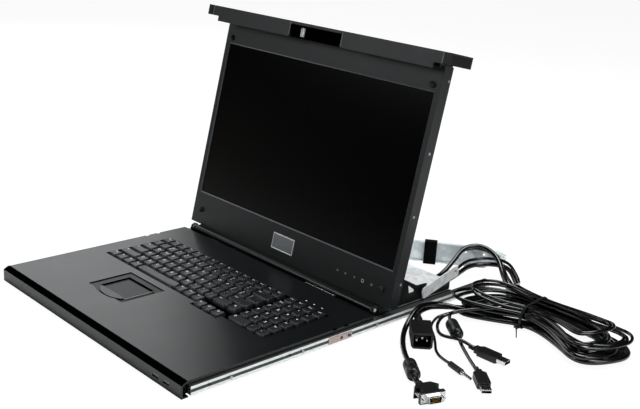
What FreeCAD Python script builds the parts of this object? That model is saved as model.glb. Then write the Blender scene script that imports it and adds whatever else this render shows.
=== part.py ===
import FreeCAD, Part
import math
import os
import Sketcher

# Rack console drawer: a tray with keyboard and touchpad on two telescopic slides, a hinged
# display that carries the 19-inch bezel, and a folding cable arm with its leads.
# x to the right, y to the back, z up; origin at the centre of the tray's underside; mm.

V = FreeCAD.Vector
os.makedirs("parts", exist_ok=True)
doc = FreeCAD.newDocument("rack_console")
sheet = doc.addObject("Spreadsheet::Sheet", "sizes")
nodes = {}
rows_used = []


class Named:
    """A number together with the sheet expression that gives it."""

    def __init__(self, value, text):
        self.value = float(value)
        self.text = text

    def __add__(self, other):
        return joined(self, "+", other)

    def __radd__(self, other):
        return joined(other, "+", self)

    def __sub__(self, other):
        return joined(self, "-", other)

    def __rsub__(self, other):
        return joined(other, "-", self)

    def __mul__(self, other):
        return joined(self, "*", other)

    def __rmul__(self, other):
        return joined(other, "*", self)

    def __truediv__(self, other):
        return joined(self, "/", other)

    def __neg__(self):
        return joined(0.0, "-", self)


def joined(left, sign, right):
    """left sign right, as a value and as an expression."""
    pair = []
    for item in (left, right):
        if not isinstance(item, Named):
            item = Named(item, "(%.4f)" % item)
        pair.append(item)
    a = pair[0].value
    b = pair[1].value
    if sign == "+":
        total = a + b
    elif sign == "-":
        total = a - b
    elif sign == "*":
        total = a * b
    else:
        total = a / b
    return Named(total, "(%s %s %s)" % (pair[0].text, sign, pair[1].text))


def number(item):
    """The plain value of a number or of a Named."""
    return item.value if isinstance(item, Named) else float(item)


def size(alias, value):
    """One named value of the sheet."""
    rows_used.append(alias)
    line = len(rows_used)
    sheet.set("A%d" % line, alias)
    sheet.set("B%d" % line, "%s" % value)
    sheet.setAlias("B%d" % line, alias)
    return Named(value, "sizes.%s" % alias)


# tray
sheet_thick = size("sheet_thick", 1.2)
tray_half = size("tray_half", 207.5)
deck_top = size("deck_top", 19.8)
deck_back = size("deck_back", 150)
bar_overhang = size("bar_overhang", 1)
bar_deep = size("bar_deep", 9)
bar_back = size("bar_back", -146)
bar_face_top = size("bar_face_top", 16.3)
bar_bevel = size("bar_bevel", 6.5)
bar_wall = size("bar_wall", 2)
pan_inset = size("pan_inset", 7.5)
pan_margin = size("pan_margin", 1.5)
pan_low_wall = size("pan_low_wall", 14)
slide_play = size("slide_play", 0.5)
fit_play = size("fit_play", 0.15)
socket_wide = size("socket_wide", 13.2)
socket_high = size("socket_high", 5.8)
socket_level = size("socket_level", 8)
socket_deep = size("socket_deep", 7.5)
socket_wall = size("socket_wall", 0.4)
socket_inset = size("socket_inset", 30)
socket_step = size("socket_step", 20.5)
lip_reach = size("lip_reach", 4)
keys_margin_left = size("keys_margin_left", 29.5)
keys_margin_right = size("keys_margin_right", 33)
keys_front = size("keys_front", -11.5)
keys_back = size("keys_back", 100.6)
block_gap = size("block_gap", 7)
keys_side_left = size("keys_side_left", 2)
keys_side_right = size("keys_side_right", 1.5)
pad_left = size("pad_left", -94)
pad_right = size("pad_right", -13)
pad_front = size("pad_front", -90)
pad_back = size("pad_back", -23.5)
pad_bulge = size("pad_bulge", 4.8)
# telescopic slides: three members a side, nested with slide_play between flanges
rail_low = size("rail_low", 3.4)
rail_high = size("rail_high", 14.2)
rail_web = size("rail_web", 1.2)
rail_reach = size("rail_reach", 4.3)
rail_wide = size("rail_wide", 9.6)
middle_inset = size("middle_inset", 0.8)
inner_inset = size("inner_inset", 1.4)
member_thick = size("member_thick", 1)
rail_tail = size("rail_tail", 75)
rail_start = size("rail_start", 1)
middle_short = size("middle_short", 10)
inner_short = size("inner_short", 15)
mount_first = size("mount_first", -120)
mount_pitch = size("mount_pitch", 120)
mount_hole = size("mount_hole", 2.2)
lever_pivot = size("lever_pivot", 100)
lever_hole_back = size("lever_hole_back", 14)
lever_end = size("lever_end", 4.5)
lever_long = size("lever_long", 40.5)
# keyboard
key_gap = size("key_gap", 1.1)
key_sunk = size("key_sunk", 2.4)
key_proud = size("key_proud", 2.2)
key_inset = size("key_inset", 1.2)
arrow_drop = size("arrow_drop", 9)
stem_wide = size("stem_wide", 4)
stem_through = size("stem_through", 1.8)
tray_deep = size("tray_deep", 6)
# touchpad
pad_deep = size("pad_deep", 5)
surface_left = size("surface_left", 17.5)
surface_right = size("surface_right", 8)
surface_front = size("surface_front", 10.4)
surface_back = size("surface_back", 14.5)
surface_play = size("surface_play", 0.3)
button_shift = size("button_shift", 4.3)
button_wide = size("button_wide", 26)
button_back = size("button_back", 9)
button_sunk = size("button_sunk", 4.2)
button_lift = size("button_lift", 1.6)
button_proud = size("button_proud", 0.4)
button_play = size("button_play", 0.3)
# hinge and electronics behind the deck
axis_behind = size("axis_behind", 11)
axis_above = size("axis_above", 1)
pin_radius = size("pin_radius", 2.5)
pin_play = size("pin_play", 0.05)
bracket_inset = size("bracket_inset", 5)
bracket_foot = size("bracket_foot", 13)
bracket_thick = size("bracket_thick", 3)
bracket_round = size("bracket_round", 7)
barrel_play = size("barrel_play", 1.5)
pin_deep = size("pin_deep", 10.5)
pin_head = size("pin_head", 0.2)
leaf_inset = size("leaf_inset", 4)
barrel_radius = size("barrel_radius", 5.2)
cover_inset = size("cover_inset", 2.5)
cover_behind = size("cover_behind", 30)
cover_deep = size("cover_deep", 122.5)
cover_top = size("cover_top", 27)
gland_long = size("gland_long", 7.5)
strip_off = size("strip_off", 4.3)
strip_level = size("strip_level", 25.4)
strip_turn = size("strip_turn", 14.8)
strip_long = size("strip_long", 65.4)
strip_wide = size("strip_wide", 16)
video_radius = size("video_radius", 3.5)
# display, drawn upright about the hinge axis and leaned back by its Placement
lean = size("lean", 11.87)
face_y = size("face_y", 5.94)
foot_z = size("foot_z", 6.77)
lcd_high = size("lcd_high", 321)
lcd_thick = size("lcd_thick", 17.5)
frame_deep = size("frame_deep", 9)
frame_thick = size("frame_thick", 2)
lcd_wall = size("lcd_wall", 1.8)
view_side = size("view_side", 9.1)
panel_under = size("panel_under", 4)
view_low = size("view_low", 50.4)
view_above = size("view_above", 35.3)
view_chamfer = size("view_chamfer", 1.4)
bezel_half = size("bezel_half", 241.3)
bezel_reach = size("bezel_reach", 25.8)
bezel_high = size("bezel_high", 15)
bezel_gap = size("bezel_gap", 1.7)
bezel_user = size("bezel_user", 24.6)
bezel_rear = size("bezel_rear", 17.7)
bezel_plate = size("bezel_plate", 2)
bezel_flange = size("bezel_flange", 1.5)
flange_deep = size("flange_deep", 7.4)
window_play = size("window_play", 1.9)
window_rim = size("window_rim", 3.9)
channel_short = size("channel_short", 0.5)
channel_drop = size("channel_drop", 3)
channel_face = size("channel_face", 10)
channel_inset = size("channel_inset", 2.2)
cap_deep = size("cap_deep", 4)
latch_half = size("latch_half", 50)
latch_behind = size("latch_behind", 3.1)
latch_drop = size("latch_drop", 5)
latch_tall = size("latch_tall", 17)
latch_deep = size("latch_deep", 6)
latch_travel = size("latch_travel", 5)
slide_left = size("slide_left", -31)
slide_wide = size("slide_wide", 9)
bumper_high = size("bumper_high", 4.8)
bumper_radius = size("bumper_radius", 4)
bumper_side_low = size("bumper_side_low", 19.5)
bumper_side_high = size("bumper_side_high", 13.5)
bumper_up = size("bumper_up", 22)
bumper_down = size("bumper_down", 26)
badge_thick = size("badge_thick", 0.6)
# cable arm
arm_x = size("arm_x", 20)
arm_reach = size("arm_reach", 23.5)
arm_turn = size("arm_turn", 38.3)
arm_long = size("arm_long", 193.7)
arm_low = size("arm_low", 5)
arm_high = size("arm_high", 37)
arm_plate = size("arm_plate", 1.6)
knuckle = size("knuckle", 5.5)
arm_pin = size("arm_pin", 2.5)
arm_play = size("arm_play", 0.05)
lug_gap = size("lug_gap", 0.3)
lug_thick = size("lug_thick", 1.6)
elbow_low = size("elbow_low", 13)
elbow_high = size("elbow_high", 29)
lip_wide = size("lip_wide", 5.5)
strap_thick = size("strap_thick", 2.2)
strap_start = size("strap_start", 83.5)
strap_wide = size("strap_wide", 19)
fork_long = size("fork_long", 14)
fork_turn = size("fork_turn", 10)
# cords: straight runs joined by tangent arcs, from the glands to the hank and on to the plugs
usb_radius = size("usb_radius", 2.25)
audio_radius = size("audio_radius", 1.9)
ferrite_radius = size("ferrite_radius", 8.5)
hank_low = size("hank_low", 2)
hank_high = size("hank_high", 26)
tie_play = size("tie_play", 0.3)
tie_thick = size("tie_thick", 1.1)
doc.recompute()

# what follows from the sheet: every neighbour keeps its named clearance
deck_under = deck_top - sheet_thick
skirt_low = rail_high + slide_play
bar_half = tray_half + bar_overhang
bar_front = bar_back - bar_deep
pan_half = tray_half - pan_inset
keys_left = keys_margin_left - tray_half
keys_right = tray_half - keys_margin_right
main_left = keys_left + keys_side_left
key_pitch = (keys_right - keys_left - keys_side_left - keys_side_right - block_gap) / 19
numpad_left = main_left + key_pitch * 15 + block_gap
arrows_left = main_left + key_pitch * 12
arrows_right = main_left + key_pitch * 15
arrows_front = keys_front - arrow_drop
key_foot = deck_under - key_sunk
key_top = deck_top + key_proud
tray_floor = deck_under - tray_deep
stem_low = tray_floor - stem_through
pad_low = deck_under - pad_deep
button_floor = deck_under - button_sunk
button_foot = button_floor + button_lift
button_top = deck_top + button_proud
axis_y = deck_back + axis_behind
axis_z = deck_top + axis_above
bracket_in = pan_half - bracket_inset
barrel_half = bracket_in - barrel_play
cover_half = pan_half - cover_inset
cover_front = axis_y + cover_behind
cover_back = cover_front + cover_deep
pan_back = cover_back + pan_margin
gland_out = cover_back + gland_long
arm_y = cover_back + arm_reach
rail_outer_x = tray_half + rail_reach
rail_lip_x = rail_outer_x - rail_wide
rail_front = bar_back + rail_start
rail_back = pan_back + rail_tail
middle_back = rail_back - middle_short
inner_back = pan_back - inner_short
lcd_half = bezel_half - bezel_reach
view_half = lcd_half - view_side
view_high = lcd_high - view_above
bezel_low = lcd_high + bezel_gap
bezel_top = bezel_low + bezel_high
channel_half = lcd_half - channel_short
channel_rear = bezel_rear - channel_inset
window_half = latch_half + window_play
window_top = bezel_top - window_rim
latch_face = bezel_user - latch_behind
latch_low = lcd_high - latch_drop
latch_high = latch_low + latch_tall
slide_right = slide_left + slide_wide


def bind(thing, path, value):
    """Give a property its value, by expression when the value is named."""
    if isinstance(value, Named):
        thing.setExpression(path, value.text)
        return
    thing.setExpression(path, "(%.4f)" % value)


def draw(body, plane, start, loops):
    """A sketch on one origin plane of the body; loops are polygons or ('circle', u, v, r)."""
    found = [f for f in body.Origin.OriginFeatures if f.Role == plane + "_Plane"][0]
    sketch = body.newObject("Sketcher::SketchObject", body.Name + "_profile")
    sketch.AttachmentSupport = (found, [""])
    sketch.MapMode = "FlatFace"
    offset = -1.0 * start if plane == "XZ" else 1.0 * start
    bind(sketch, "AttachmentOffset.Base.z", offset)
    for loop in loops:
        first = sketch.GeometryCount
        if loop[0] == "circle":
            u, v, r = loop[1:]
            centre = V(number(u), number(v), 0)
            sketch.addGeometry(Part.Circle(centre, V(0, 0, 1), number(r)), False)
            hold(sketch, first, 3, u, v)
            held = sketch.addConstraint(Sketcher.Constraint("Radius", first, number(r)))
            if isinstance(r, Named):
                sketch.setExpression("Constraints[%d]" % held, r.text)
            continue
        count = len(loop)
        for i in range(count):
            here = loop[i]
            after = loop[(i + 1) % count]
            line = Part.LineSegment(V(number(here[0]), number(here[1]), 0),
                                    V(number(after[0]), number(after[1]), 0))
            sketch.addGeometry(line, False)
        for i in range(count):
            join = Sketcher.Constraint("Coincident", first + i, 2, first + (i + 1) % count, 1)
            sketch.addConstraint(join)
        for i in range(count):
            hold(sketch, first + i, 1, loop[i][0], loop[i][1])
    return sketch


def hold(sketch, which, point, u, v):
    """Hold one point of a sketch at u, v from the sketch's origin."""
    for value, kind, axis in ((u, "DistanceX", -2), (v, "DistanceY", -1)):
        if abs(number(value)) < 1e-9:
            sketch.addConstraint(Sketcher.Constraint("PointOnObject", which, point, axis))
            continue
        rule = Sketcher.Constraint(kind, -1, 1, which, point, number(value))
        held = sketch.addConstraint(rule)
        if isinstance(value, Named):
            sketch.setExpression("Constraints[%d]" % held, value.text)


def pad(body, plane, start, length, *loops):
    """Add a prism that runs from start along the positive normal direction of the plane."""
    feature = body.newObject("PartDesign::Pad", body.Name + "_pad")
    feature.Profile = draw(body, plane, start, loops)
    feature.Reversed = plane == "XZ"
    bind(feature, "Length", length)
    body.Tip = feature
    doc.recompute()
    return feature


def cut(body, plane, start, length, *loops):
    """Take a prism away, from start along the positive normal direction of the plane."""
    before = body.Shape.Volume
    feature = body.newObject("PartDesign::Pocket", body.Name + "_cut")
    feature.Profile = draw(body, plane, start, loops)
    feature.Reversed = plane != "XZ"
    bind(feature, "Length", length)
    body.Tip = feature
    doc.recompute()
    if body.Shape.Volume > before - 1e-6:
        raise RuntimeError("nothing was cut from " + body.Name)
    return feature


def soften(body, kind, amount, chosen):
    """Fillet or chamfer the edges of the body that chosen accepts."""
    base = body.Tip
    picked = []
    for i, edge in enumerate(base.Shape.Edges):
        if chosen(edge):
            picked.append("Edge%d" % (i + 1))
    if not picked:
        raise RuntimeError("no edge to soften on " + body.Name)
    feature = body.newObject("PartDesign::" + kind, body.Name + "_soft")
    feature.Base = (base, picked)
    bind(feature, "Radius" if kind == "Fillet" else "Size", amount)
    body.Tip = feature
    doc.recompute()
    if not feature.Shape.isValid() or feature.Shape.Volume < 1e-6:
        raise RuntimeError("bad edge work on " + body.Name)
    return feature


def prism(name, plane, start, length, *loops):
    """A new body with one prism in it."""
    body = doc.addObject("PartDesign::Body", name)
    pad(body, plane, start, length, *loops)
    return body


def box(u0, u1, v0, v1):
    """A rectangle as a loop."""
    return [(u0, v0), (u1, v0), (u1, v1), (u0, v1)]


def mirrored(name, source):
    """The other hand of a piece, across the middle plane."""
    twin = doc.addObject("Part::Mirroring", name)
    twin.Source = source
    twin.Normal = V(1, 0, 0)
    twin.Base = V(0, 0, 0)
    return twin


def gathered(name, things):
    """Several solids that are one sub-part."""
    group = doc.addObject("Part::Compound", name)
    group.Links = things
    return group


def place(thing, axis, angle, x, y, z):
    """Turn a piece about an axis through its own origin and move it, all by expression."""
    thing.Placement = FreeCAD.Placement(V(number(x), number(y), number(z)),
                                        FreeCAD.Rotation(axis, number(angle)))
    bind(thing, "Placement.Rotation.Angle", angle)
    bind(thing, "Placement.Base.x", x)
    bind(thing, "Placement.Base.y", y)
    bind(thing, "Placement.Base.z", z)
    return thing


# ---- tray ----------------------------------------------------------------------------------
bar = prism("front_bar", "YZ", -bar_half, bar_half * 2, [
    (bar_front, 0), (bar_back, 0), (bar_back, bar_wall), (bar_front + bar_wall, bar_wall),
    (bar_front + bar_wall, bar_face_top - bar_wall / 2), (bar_front + bar_bevel, deck_top - bar_wall),
    (bar_back, deck_top - bar_wall), (bar_back, deck_top), (bar_front + bar_bevel, deck_top),
    (bar_front, bar_face_top)])
socket_bodies = []
for turn in range(2):
    middle = bar_half - socket_inset - socket_step * (1 - turn)
    outer = box(middle - socket_wide / 2, middle + socket_wide / 2,
                socket_level - socket_high / 2, socket_level + socket_high / 2)
    cut(bar, "XZ", bar_front - 1, bar_wall + 1.5, outer)
    shell = prism("usb_socket_%d" % turn, "XZ", bar_front, socket_deep, outer)
    cut(shell, "XZ", bar_front - 1, socket_deep + 0.2,
        box(middle - socket_wide / 2 + socket_wall, middle + socket_wide / 2 - socket_wall,
            socket_level - socket_high / 2 + socket_wall, socket_level + socket_high / 2 - socket_wall))
    pad(shell, "XZ", bar_front + 0.6, socket_deep - 0.6,
        box(middle - socket_wide / 2 + 1.1, middle + socket_wide / 2 - 1.1,
            socket_level + 0.1, socket_level + 1.9))
    socket_bodies.append(shell)
nodes["front_bar"] = bar
nodes["usb_sockets"] = gathered("usb_sockets", socket_bodies)

deck = prism("deck_plate", "XZ", bar_back, deck_back - bar_back, [
    (-tray_half, skirt_low), (-tray_half, deck_top), (tray_half, deck_top), (tray_half, skirt_low),
    (tray_half - sheet_thick, skirt_low), (tray_half - sheet_thick, deck_under),
    (sheet_thick - tray_half, deck_under), (sheet_thick - tray_half, skirt_low)])
pad(deck, "XZ", deck_back - sheet_thick, sheet_thick, box(-tray_half, tray_half, skirt_low, deck_top))
pad(deck, "XY", deck_under, sheet_thick, box(72, 130, deck_back - sheet_thick, deck_back + lip_reach))
pad(deck, "XY", deck_under, sheet_thick, box(-88, -81, deck_back - sheet_thick, deck_back + lip_reach))
cut(deck, "XY", deck_under - 0.2, sheet_thick + 0.4, [
    (keys_left, keys_front), (arrows_left - 0.6, keys_front), (arrows_left - 0.6, arrows_front - 0.4),
    (arrows_right + 0.6, arrows_front - 0.4), (arrows_right + 0.6, keys_front), (keys_right, keys_front),
    (keys_right, keys_back), (keys_left, keys_back)])
cut(deck, "XY", deck_under - 0.2, sheet_thick + 0.4, [
    (pad_left, pad_front), (pad_left + 15, pad_front), (pad_left + 26, pad_front - pad_bulge * 0.8),
    (pad_left + 40.5, pad_front - pad_bulge), (pad_right - 26, pad_front - pad_bulge * 0.8),
    (pad_right - 15, pad_front), (pad_right, pad_front), (pad_right, pad_back), (pad_left, pad_back)])
for side in (-1, 1):
    outer = tray_half * side
    inner = (tray_half - 2.6) * side
    for notch in (76, 96):
        cut(deck, "XY", deck_under - 0.2, sheet_thick + 0.4,
            box(inner, outer, notch, notch + 7) if side > 0 else box(outer, inner, notch, notch + 7))
nodes["deck_plate"] = deck

pan = prism("base_pan", "XZ", bar_back, deck_back - sheet_thick - bar_back, [
    (-pan_half, 0), (pan_half, 0), (pan_half, deck_under), (pan_half - sheet_thick, deck_under),
    (pan_half - sheet_thick, sheet_thick), (sheet_thick - pan_half, sheet_thick),
    (sheet_thick - pan_half, deck_under), (-pan_half, deck_under)])
pad(pan, "XZ", deck_back - sheet_thick, pan_back - deck_back + sheet_thick, [
    (-pan_half, 0), (pan_half, 0), (pan_half, pan_low_wall), (pan_half - sheet_thick, pan_low_wall),
    (pan_half - sheet_thick, sheet_thick), (sheet_thick - pan_half, sheet_thick),
    (sheet_thick - pan_half, pan_low_wall), (-pan_half, pan_low_wall)])
nodes["base_pan"] = pan

# ---- telescopic slides: three members a side, nested with slide_play between flanges ----------
rail_mid_z = (rail_low + rail_high) / 2

outer = prism("outer_rail_right", "XZ", rail_front, rail_back - rail_front, [
    (rail_lip_x, rail_low), (rail_outer_x, rail_low), (rail_outer_x, rail_high),
    (rail_lip_x, rail_high), (rail_lip_x, rail_high - rail_web),
    (rail_outer_x - rail_web, rail_high - rail_web), (rail_outer_x - rail_web, rail_low + rail_web),
    (rail_lip_x, rail_low + rail_web)])
cut(outer, "YZ", rail_outer_x - rail_web - 0.2, rail_web + 0.4,
    *[("circle", mount_first + mount_pitch * i, rail_mid_z, mount_hole) for i in (0, 1, 3, 4)])
pad(outer, "YZ", rail_outer_x - 0.2, 1.7, ("circle", lever_pivot, rail_mid_z, 1.5))
pad(outer, "YZ", rail_outer_x + 1.5, 0.6, ("circle", lever_pivot, rail_mid_z, 2.6))
nodes["outer_rails"] = gathered("outer_rails", [outer, mirrored("outer_rail_left", outer)])

mid_low = rail_low + rail_web + slide_play
mid_high = rail_high - rail_web - slide_play
mid_x = rail_outer_x - rail_web - slide_play
mid_lip = rail_lip_x + middle_inset
middle = prism("middle_rail_right", "XZ", rail_front + rail_start, middle_back - rail_front, [
    (mid_lip, mid_low), (mid_x, mid_low), (mid_x, mid_high), (mid_lip, mid_high),
    (mid_lip, mid_high - member_thick), (mid_x - rail_web, mid_high - member_thick),
    (mid_x - rail_web, mid_low + member_thick), (mid_lip, mid_low + member_thick)])
nodes["middle_rails"] = gathered("middle_rails", [middle, mirrored("middle_rail_left", middle)])

in_low = mid_low + member_thick + slide_play
in_high = mid_high - member_thick - slide_play
in_x = mid_x - rail_web - inner_inset
inner = prism("inner_rail_right", "XZ", rail_front, inner_back - rail_front, [
    (pan_half, in_low), (in_x, in_low), (in_x, in_low + member_thick),
    (pan_half + rail_web, in_low + member_thick), (pan_half + rail_web, in_high - member_thick),
    (in_x, in_high - member_thick), (in_x, in_high), (pan_half, in_high)])
nodes["inner_rails"] = gathered("inner_rails", [inner, mirrored("inner_rail_left", inner)])

lever_back = lever_pivot + lever_end
lever_front = lever_back - lever_long
lever_hole = lever_pivot - lever_hole_back
lever = prism("rail_lever_right", "YZ", rail_outer_x + fit_play, 1.2, [
    (lever_front, rail_low + 2), (lever_front + 4, rail_low + 1), (lever_back, rail_low + 1.6),
    (lever_back, rail_high - 1.6), (lever_front + 4, rail_high - 1), (lever_front, rail_high - 2)])
cut(lever, "YZ", rail_outer_x, 2, ("circle", lever_pivot, rail_mid_z, fit_play + 1.5))
cut(lever, "YZ", rail_outer_x, 2, ("circle", lever_hole, rail_mid_z, 2.2))
nodes["rail_lever_right"] = lever
nodes["rail_lever_left"] = mirrored("rail_lever_left", lever)

# ---- keyboard ------------------------------------------------------------------------------
key_row_deep = (keys_back - keys_front) / 6
stems = []
stem_holes = []


def key(row, left, wide, drop=0.0):
    """One keycap with its stem: wide in key pitches, left in pitches from the block's edge."""
    block = numpad_left if left >= 100 else main_left
    along = left - 100 if left >= 100 else left
    x0 = block + key_pitch * along + key_gap / 2
    x1 = block + key_pitch * (along + wide) - key_gap / 2
    y1 = keys_back - key_row_deep * row - key_gap / 2 - drop
    y0 = keys_back - key_row_deep * (row + 1) + key_gap / 2 - drop
    cap = doc.addObject("Part::Wedge", "cap")
    bind(cap, "Xmin", 0.0)
    bind(cap, "Ymin", 0.0)
    bind(cap, "Zmin", 0.0)
    bind(cap, "Xmax", x1 - x0)
    bind(cap, "Ymax", key_top - key_foot)
    bind(cap, "Zmax", y1 - y0)
    bind(cap, "X2min", key_inset)
    bind(cap, "Z2min", key_inset * 0.7)
    bind(cap, "X2max", x1 - x0 - key_inset)
    bind(cap, "Z2max", y1 - y0 - key_inset * 1.1)
    place(cap, V(1, 0, 0), 90.0, x0, y1, key_foot)
    middle_x = (x0 + x1) / 2
    middle_y = (y0 + y1) / 2
    pair = [cap]
    for grow, store in ((0.0, pair), (fit_play, stem_holes)):
        post = doc.addObject("Part::Box", "stem")
        bind(post, "Length", stem_wide + grow * 2)
        bind(post, "Width", stem_wide + grow * 2)
        bind(post, "Height", key_foot - stem_low)
        place(post, V(0, 0, 1), 0.0, middle_x - stem_wide / 2 - grow, middle_y - stem_wide / 2 - grow,
              stem_low)
        store.append(post)
    return pair


def key_row(name, row, keys):
    """A row of keys that is one sub-part."""
    solids = []
    for entry in keys:
        solids += key(row, *entry)
    nodes[name] = gathered(name, solids)


def run(first, widths):
    """Keys side by side from first on."""
    out = []
    at = first
    for wide in widths:
        out.append((at, wide))
        at += wide
    return out


pad_four = run(100, [1, 1, 1, 1])
key_row("key_row_function", 0, run(0, [1] * 15) + pad_four)
key_row("key_row_number", 1, run(0, [1] * 13 + [2]) + pad_four)
key_row("key_row_upper", 2, run(0, [1.5] + [1] * 12 + [1.5]) + pad_four)
key_row("key_row_home", 3, run(0, [1.75] + [1] * 11 + [2.25]) + pad_four)
key_row("key_row_shift", 4, run(0, [2.25] + [1] * 10 + [1.75, 1]) + pad_four)
key_row("key_row_bottom", 5, run(0, [1] * 4) + run(9, [1] * 3) + run(100, [2, 1, 1])
        + [(12, 1, arrow_drop), (13, 1, arrow_drop), (14, 1, arrow_drop)])
key_row("space_bar", 5, [(4, 5)])



def around_keys(margin):
    """The outline of the key field with its arrow bay, grown by a margin."""
    return [(keys_left - margin, keys_front - margin), (arrows_left - margin, keys_front - margin),
            (arrows_left - margin, arrows_front - margin), (arrows_right + margin, arrows_front - margin),
            (arrows_right + margin, keys_front - margin), (keys_right + margin, keys_front - margin),
            (keys_right + margin, keys_back + margin), (keys_left - margin, keys_back + margin)]


tub = prism("keyboard_tub", "XY", tray_floor, deck_under - tray_floor, around_keys(3))
cut(tub, "XY", tray_floor + sheet_thick, deck_under, around_keys(1.5))
holes = gathered("stem_holes", stem_holes)
tray = doc.addObject("Part::Cut", "keyboard_tray")
tray.Base = tub
tray.Tool = holes
nodes["keyboard_tray"] = tray

# ---- touchpad ------------------------------------------------------------------------------
pad_mid = (pad_left + pad_right) / 2 + button_shift
frame_body = prism("touchpad_frame", "XY", pad_low, deck_under - pad_low,
                   box(pad_left - 3, pad_right + 3, pad_front - pad_bulge - 3, pad_back + 3))
surface_low = deck_under - 1
cut(frame_body, "XY", surface_low, 2,
    box(pad_left + surface_left - surface_play, pad_right - surface_right + surface_play,
        pad_front + surface_front - surface_play, pad_back - surface_back + surface_play))
half = button_play / 2
button_edge = pad_front + button_back
for side in (-1, 1):
    outline = [(pad_mid + half * side, button_edge), (pad_mid + button_wide * side, button_edge),
               (pad_mid + button_wide * side, button_edge - 3.4), (pad_mid + 18 * side, button_edge - 8.4),
               (pad_mid + 9.5 * side, button_edge - 11.2), (pad_mid + half * side, button_edge - 12)]
    name = "touchpad_button_left" if side < 0 else "touchpad_button_right"
    button = prism(name, "XY", button_foot, button_top - button_foot, outline)
    nodes[name] = button
span = button_wide + button_play
well_edge = button_edge + button_play
cut(frame_body, "XY", button_floor, 6, [
    (pad_mid - span, well_edge), (pad_mid + span, well_edge), (pad_mid + span, well_edge - 3.9),
    (pad_mid + 18.2, well_edge - 9), (pad_mid + 9.6, well_edge - 11.8), (pad_mid, well_edge - 12.7),
    (pad_mid - 9.6, well_edge - 11.8), (pad_mid - 18.2, well_edge - 9), (pad_mid - span, well_edge - 3.9)])
nodes["touchpad_frame"] = frame_body
nodes["touchpad_surface"] = prism("touchpad_surface", "XY", surface_low, 0.8,
                                  box(pad_left + surface_left, pad_right - surface_right,
                                      pad_front + surface_front, pad_back - surface_back))

# ---- hinge and electronics behind the deck -----------------------------------------------------
bracket = prism("hinge_bracket", "YZ", bracket_in, bracket_thick, [
    (axis_y - bracket_round, sheet_thick), (axis_y + bracket_round, sheet_thick),
    (axis_y + bracket_round, axis_z), (axis_y + bracket_round * 0.707, axis_z + bracket_round * 0.707),
    (axis_y, axis_z + bracket_round), (axis_y - bracket_round * 0.707, axis_z + bracket_round * 0.707),
    (axis_y - bracket_round, axis_z)])
pad(bracket, "XY", sheet_thick, 2, box(bracket_in - bracket_foot, bracket_in + bracket_thick,
                                       axis_y - bracket_round, axis_y + bracket_round))
cut(bracket, "YZ", bracket_in - 0.5, bracket_thick + 1, ("circle", axis_y, axis_z, pin_radius))
nodes["hinge_brackets"] = gathered("hinge_brackets", [bracket, mirrored("bracket_twin", bracket)])
pin = prism("hinge_pin", "YZ", barrel_half - pin_deep, bracket_in + bracket_thick - barrel_half + pin_deep,
            ("circle", axis_y, axis_z, pin_radius))
pad(pin, "YZ", barrel_half + pin_head, barrel_play - pin_head,
    ("circle", axis_y, axis_z, barrel_radius - pin_head))
nodes["hinge_pins"] = gathered("hinge_pins", [pin, mirrored("pin_twin", pin)])

cover = prism("electronics_cover", "XY", sheet_thick, cover_top - sheet_thick,
              box(-cover_half, cover_half, cover_front, cover_back))
cut(cover, "XY", 0.2, cover_top - sheet_thick - 0.2,
    box(sheet_thick - cover_half, cover_half - sheet_thick, cover_front + sheet_thick,
        cover_back - sheet_thick))
nodes["electronics_cover"] = cover
# the compartment's side plate with its raised guide, and the strip that holds the leads off it
guide_wall = cover_top + 0.6
post = prism("side_plate", "YZ", cover_half, sheet_thick, [
    (cover_front + 0.5, pan_low_wall + 1), (cover_back - 0.5, pan_low_wall + 1),
    (cover_back - 0.5, guide_wall), (cover_front + 71, guide_wall), (cover_front + 71, cover_top + 8.7),
    (cover_front + 50.5, cover_top + 10), (cover_front + 24.4, cover_top + 24.4),
    (cover_front + 13, cover_top + 24.4), (cover_front + 13, guide_wall), (cover_front + 0.5, guide_wall)])
cut(post, "YZ", cover_half - 0.5, 3, [
    (cover_front + 32.3, cover_top + 14.3), (cover_front + 35, cover_top + 2),
    (cover_front + 44.6, cover_top + 2), (cover_front + 45.6, cover_top + 4.8)])
strip_in = cover_half + sheet_thick + strip_off
strip_y = cover_front + 62.6
pad(post, "YZ", cover_half + sheet_thick - 0.2, strip_off + 0.2, ("circle", strip_y, strip_level, 3))
strip = prism("guide_strip", "YZ", 0.0, sheet_thick, [
    (-6, -4), (-3, -strip_wide / 2), (strip_long + 3, -strip_wide / 2), (strip_long + 6, -5),
    (strip_long + 6, 5), (strip_long + 3, strip_wide / 2), (-3, strip_wide / 2), (-6, 4)])
cut(strip, "YZ", -0.5, 3, ("circle", 0.0, 0.0, 2.2), ("circle", strip_long, 0.0, 2.2))
place(strip, V(1, 0, 0), strip_turn, strip_in, strip_y, strip_level)
nodes["cable_post"] = gathered("cable_post", [post, strip])

gland_solids = []
for gland_side, gland_z in ((42, 13), (28, 11)):
    gland = prism("gland_%d" % gland_side, "XZ", cover_back, gland_out - cover_back,
                  ("circle", pan_half - gland_side, gland_z, 6))
    gland_solids.append(gland)
nodes["cable_glands"] = gathered("cable_glands", gland_solids)

# ---- display, drawn upright about the hinge axis and leaned back by its Placement ---------------


def out(n):
    """Local y of a level n in front of the display's face."""
    return face_y - n


def up(s):
    """Local z of a height s above the display's lower edge."""
    return foot_z + s


def lean_back(thing):
    """Stand a display piece on the hinge axis, leaned back."""
    return place(thing, V(-1, 0, 0), lean, 0.0, axis_y, axis_z)


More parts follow.
